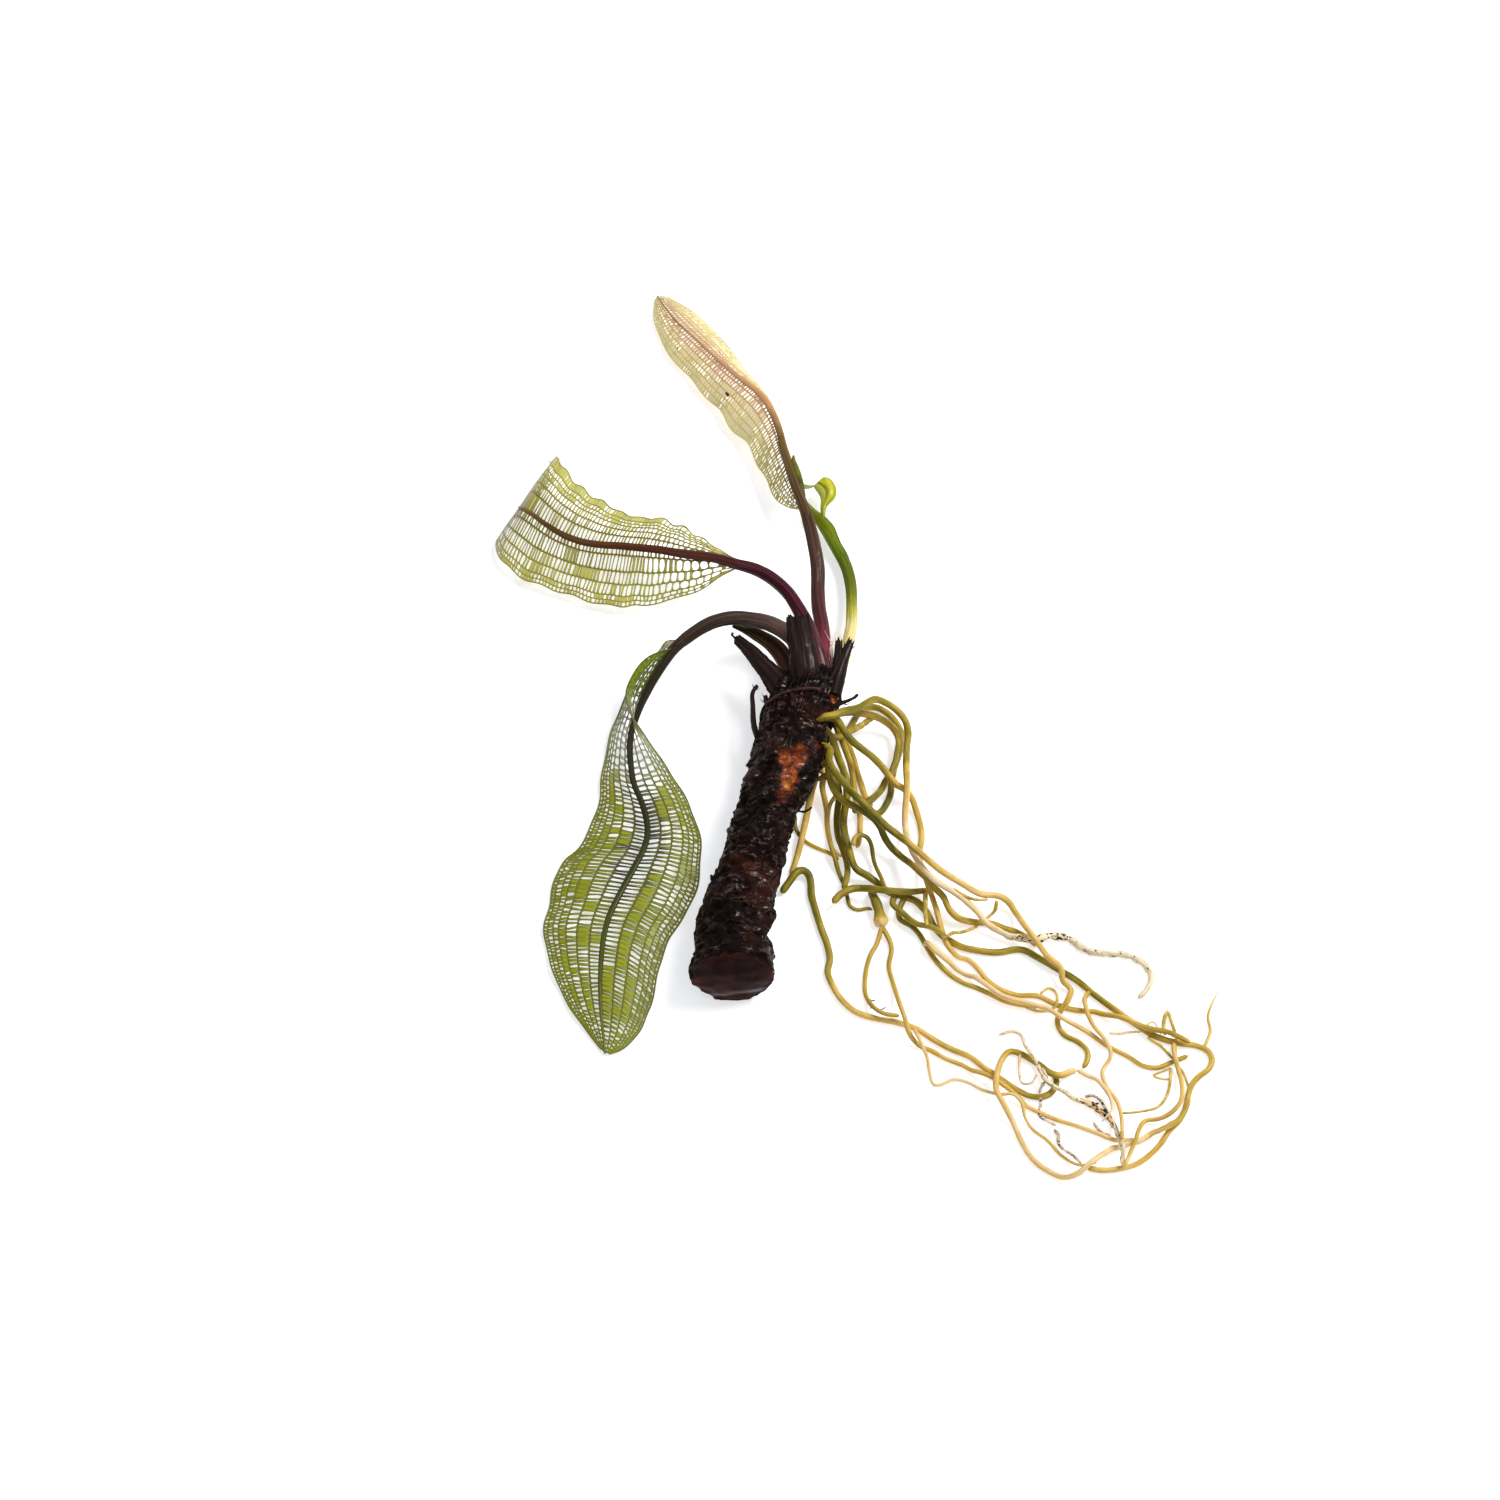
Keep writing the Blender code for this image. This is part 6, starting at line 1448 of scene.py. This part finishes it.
def strandFinish(name):
    pale, deep, speck = (shade(*hue) for hue in strandLooks[name][:3])
    speckShare = strandLooks[name][3]
    finish = Finish(name, Specular_IOR_Level=0.12)
    tree = finish.tree
    place = tree.add("ShaderNodeTexCoord", out="Object")
    blotch = tree.grain(place, 420.0, 3.0)
    fine = tree.grain(place, 2600.0, 3.0)
    hue = tree.mix(blotch.between(0.36, 0.66), pale, deep)
    hue = tree.mix(tree.grain(place, 900.0, 4.0, 0.65).between(0.62 - speckShare, 0.66 - speckShare), hue, speck)
    finish.link(Base_Color=hue, Roughness=0.5 + (fine - 0.5) * 0.3)
    return finish.bump(blotch * 0.6 + fine * 0.3, 0.5, 0.0004)


strandFinishes = {name: strandFinish(name) for name in strandLooks}
strandSlots = {"gold": "root_gold", "cream": "root_pale", "rotted": "root_white", "dark": "root_olive"}
strandReach = 1.3


def joinEnds(curve):
    # an end that meets a root as seen from the front rises or sinks to it, and keeps its place in that view
    lifts = []
    for x, y, z in (curve[0, :3], curve[-1, :3]):
        nearest, lift = strandReach, 0.0
        for other, _ in laidRoots:
            apart = np.hypot(other[:, 0] - x, other[:, 1] + (other[:, 2] - z) * lookBack - y)
            if apart.min() < nearest:
                nearest, lift = apart.min(), other[apart.argmin(), 2] - z
        lifts.append(lift)
    lift = spread(lifts, np.linspace(0, 1, len(curve)))
    curve[:, 1] -= lift * lookBack
    curve[:, 2] += lift


def buildSideRoots():
    for kind, found in sideRoots.items():
        made = []
        for number, (radius, route) in enumerate(found):
            plan, girth = lieDown(route, radius, radius * 0.75, radius, laidRoots, -0.35)
            curve = evenly(np.column_stack([plan, girth]), 0.3)
            joinEnds(curve)
            lumps = 0.5 if kind in ("rotted", "dark") else 0.15
            girth = curve[:, 3] * lumpy(len(curve), lumps, 2.2, number, 4)
            girth = girth * rounding(distanceAlong(curve[:, :3]), radius)
            curve[:, 2] = np.maximum(curve[:, 2], girth + 0.03)
            made.append((curve[:, :3], girth))
        strands("side_roots_" + kind, made, strandFinishes["side_root_" + kind], strandSlots[kind], 8)


buildSideRoots()
print("side roots")

# short filaments and small things above the surface: plane, radius, route with heights
fibreTop = 17.2
crownStrands = {
    "dark": [
        (crownPlane, 0.26, [(-6.4, 47.0, 12.2), (-7.4, 47.8, 12.4), (-8.0, 48.4, 12.4), (-7.7, 49.0, 12.3)]),
        (crownPlane, 0.26, [(-3.4, 34.4, 10.0), (-3.1, 35.6, 10.1), (-2.6, 36.2, 10.1)]),
        (crownPlane, 0.3, [(-9.6, -12.6, 8.6), (-11.2, -11.6, 8.8), (-12.0, -10.0, 8.9), (-12.1, -8.8, 8.9)]),
        (crownPlane, 0.32, [(16.2, 32.4, 10.2), (17.4, 33.0, 10.4), (18.4, 34.0, 10.5)]),
        (3.0, 0.24, [(3.6, 9.9, 3.6), (5.5, 9.5, 3.9), (7.0, 9.2, 4.1), (8.2, 9.9, 4.3), (8.6, 10.4, 4.3)]),
    ],
    "gold": [
        (3.0, 0.66, [(14.6, 26.8, 3.4), (15.8, 27.8, 3.8), (18.2, 29.3, 4.0), (20.6, 31.1, 4.2), (22.2, 32.6, 4.4)])],
    "brown": [
        (crownPlane, 0.36, [(-1.0, 31.6, 13.2), (0.0, 32.3, 14.0), (2.0, 33.8, 15.4), (5.0, 34.8, 16.0),
                            (8.5, 35.3, 16.0), (10.5, 35.0, 15.0)]),
        (leafPlane, 0.3, [(-9.6, 111.6, 5.6), (-9.2, 111.2, 5.8), (-8.9, 110.5, 5.7)]),
        (leafPlane, 0.26, [(-20.4, 123.9, 3.8), (-20.1, 123.7, 3.8)]),
    ],
}


def buildCrownStrands():
    for kind, found in crownStrands.items():
        made = []
        for plane, radius, route in found:
            curve = finely(seen(route, plane), 0.2)
            girth = radius * rounding(distanceAlong(curve), radius) * lumpy(len(curve), 0.3, 2.5, radius * 20, 1)
            made.append((curve, girth))
        finish = strandFinishes["torn_fibre" if kind == "brown" else "side_root_" + kind]
        strands("crown_strands_" + kind, made, finish, "root_gold" if kind == "gold" else "old_stalk", 8)


def fringe(tip, direction, width, count, reach, draw):
    # torn fibres that stand out of a broken end
    made = []
    direction = direction / np.linalg.norm(direction)
    side = np.cross(direction, (0, 0, 1))
    for _ in range(count):
        start = tip + side * draw.uniform(-width, width) + np.array([0, 0, draw.uniform(-0.7, 0.5)]) - direction * 1.2
        end = start + direction * draw.uniform(0.5, 1) * (reach + 1.2) + side * draw.normal(0, 0.5)
        end[2] = min(end[2] + draw.normal(0, 0.4), fibreTop)
        middle = (start + end) / 2 + draw.normal(0, 0.2, 3)
        curve = finely([start, middle, end], 0.3)
        curve[:, 2] = np.clip(curve[:, 2], 0.3, fibreTop)
        made.append((curve, np.linspace(draw.uniform(0.1, 0.22), 0.03, len(curve))))
    return made


def buildFringes():
    draw = np.random.default_rng(21)
    made = []
    for name, points, wide, tall, sides in stubs:
        curve = smooth(seen(points, crownPlane))
        count, reach = (4, 1.3) if name.startswith("stub") else (2, 0.6)
        count = 9 if name == "stub_centre" else count
        made += fringe(curve[-1], curve[-1] - curve[-3], wide[-1] * 0.95, count, reach, draw)
    strands("torn_fibres", made, strandFinishes["torn_fibre"], "old_stalk", 5)


def buildSheathHairs():
    # what is left of a thin sheath, as pale hairs between the two inner stalks
    draw = np.random.default_rng(22)
    made = []
    for _ in range(12):
        x = draw.uniform(12.4, 14.4)
        route = [(x, 40.5, 9.0), (x + draw.normal(0.2, 0.3), 44.0, 9.3),
                 (x + draw.normal(0.3, 0.6), 46.5 + draw.uniform(0, 3.5), 9.4)]
        curve = finely(seen(route, 10.0), 0.4)
        made.append((curve, np.linspace(0.13, 0.04, len(curve))))
    strands("sheath_hairs", made, strandFinishes["sheath"], "stalk_crimson", 5)


def buildShreds():
    # the left leaf's torn tip, and the narrow edge of the upper leaf beside its midrib
    draw = np.random.default_rng(23)
    tip = seen([(-46.4, 93.8, 4.9)], leafPlane)[0]
    made = fringe(tip, np.array([-0.1, 1.0, 0.25]), 1.0, 12, 0.7, draw)
    made = [(curve, girth * 1.5) for curve, girth in made]
    strands("left_leaf_shreds", made, strandFinishes["shred"], "leaf_yellow", 5)
    route = [(7.2, 84.0, 8.6), (6.7, 86.6, 8.9), (6.0, 90.0, 9.0), (5.35, 92.4, 9.0), (5.2, 94.6, 9.0)]
    edge = finely(seen(route, leafPlane), 0.3)
    thick = spread((0.6, 0.85, 0.85, 0.8, 0.25), np.linspace(0, 1, len(edge)))
    strands("upper_leaf_edge", [(edge, thick)], strandFinishes["olive_edge"], "leaf_tan", 10)


buildCrownStrands()
buildFringes()
buildSheathHairs()
buildShreds()
print("strands")


# stage
view = {"target": (-1.4, 25.7, 0.0), "distance": 875.0, "lens": 100.0, "sensor": 36.0,
        "ambient": 0.52, "tableGlow": 0.5, "keyPlace": (0.42, 0.2, 0.62), "keySize": 0.34, "keyPower": 5.4}


def buildStage():
    size = 3.0
    mesh = bpy.data.meshes.new("table")
    mesh.from_pydata([(-size, -size, 0), (size, -size, 0), (size, size, 0), (-size, size, 0)], [], [(0, 1, 2, 3)])
    table = bpy.data.objects.new("table", mesh)
    bpy.context.scene.collection.objects.link(table)
    finish = Finish("table_top", Roughness=0.7, Specular_IOR_Level=0.05, Emission_Strength=view["tableGlow"])
    finish.shader.inputs["Emission Color"].default_value = (1, 1, 1, 1)
    tree = finish.tree
    soft = tree.grain(tree.add("ShaderNodeTexCoord", out="Object"), 6.0, 2.0)
    finish.link(Base_Color=tree.ramp(soft, (0.0, (0.83, 0.84, 0.88, 1)), (1.0, (0.87, 0.88, 0.91, 1))))
    mesh.materials.append(finish.material)

    world = bpy.data.worlds.new("studio")
    bpy.context.scene.world = world
    world.use_nodes = True
    world.node_tree.nodes["Background"].inputs["Color"].default_value = (0.97, 0.98, 1.0, 1)
    world.node_tree.nodes["Background"].inputs["Strength"].default_value = view["ambient"]
    light = bpy.data.lights.new("key", "AREA")
    light.size, light.energy = view["keySize"], view["keyPower"]
    lamp = bpy.data.objects.new("key", light)
    lamp.location = view["keyPlace"]
    lamp.rotation_euler = (Vector((0, 0.03, 0)) - Vector(view["keyPlace"])).to_track_quat("-Z", "Y").to_euler()
    bpy.context.scene.collection.objects.link(lamp)

    target = Vector(view["target"]) * mm
    back = Vector((0, -math.cos(viewAngle), math.sin(viewAngle)))
    lens = bpy.data.cameras.new("camera")
    lens.lens, lens.sensor_width = view["lens"], view["sensor"]
    camera = bpy.data.objects.new("camera", lens)
    camera.location = target + back * view["distance"] * mm
    camera.rotation_euler = (-back).to_track_quat("-Z", "Y").to_euler()
    bpy.context.scene.collection.objects.link(camera)
    bpy.context.scene.camera = camera
    bpy.context.scene.view_settings.view_transform = "Standard"


buildStage()
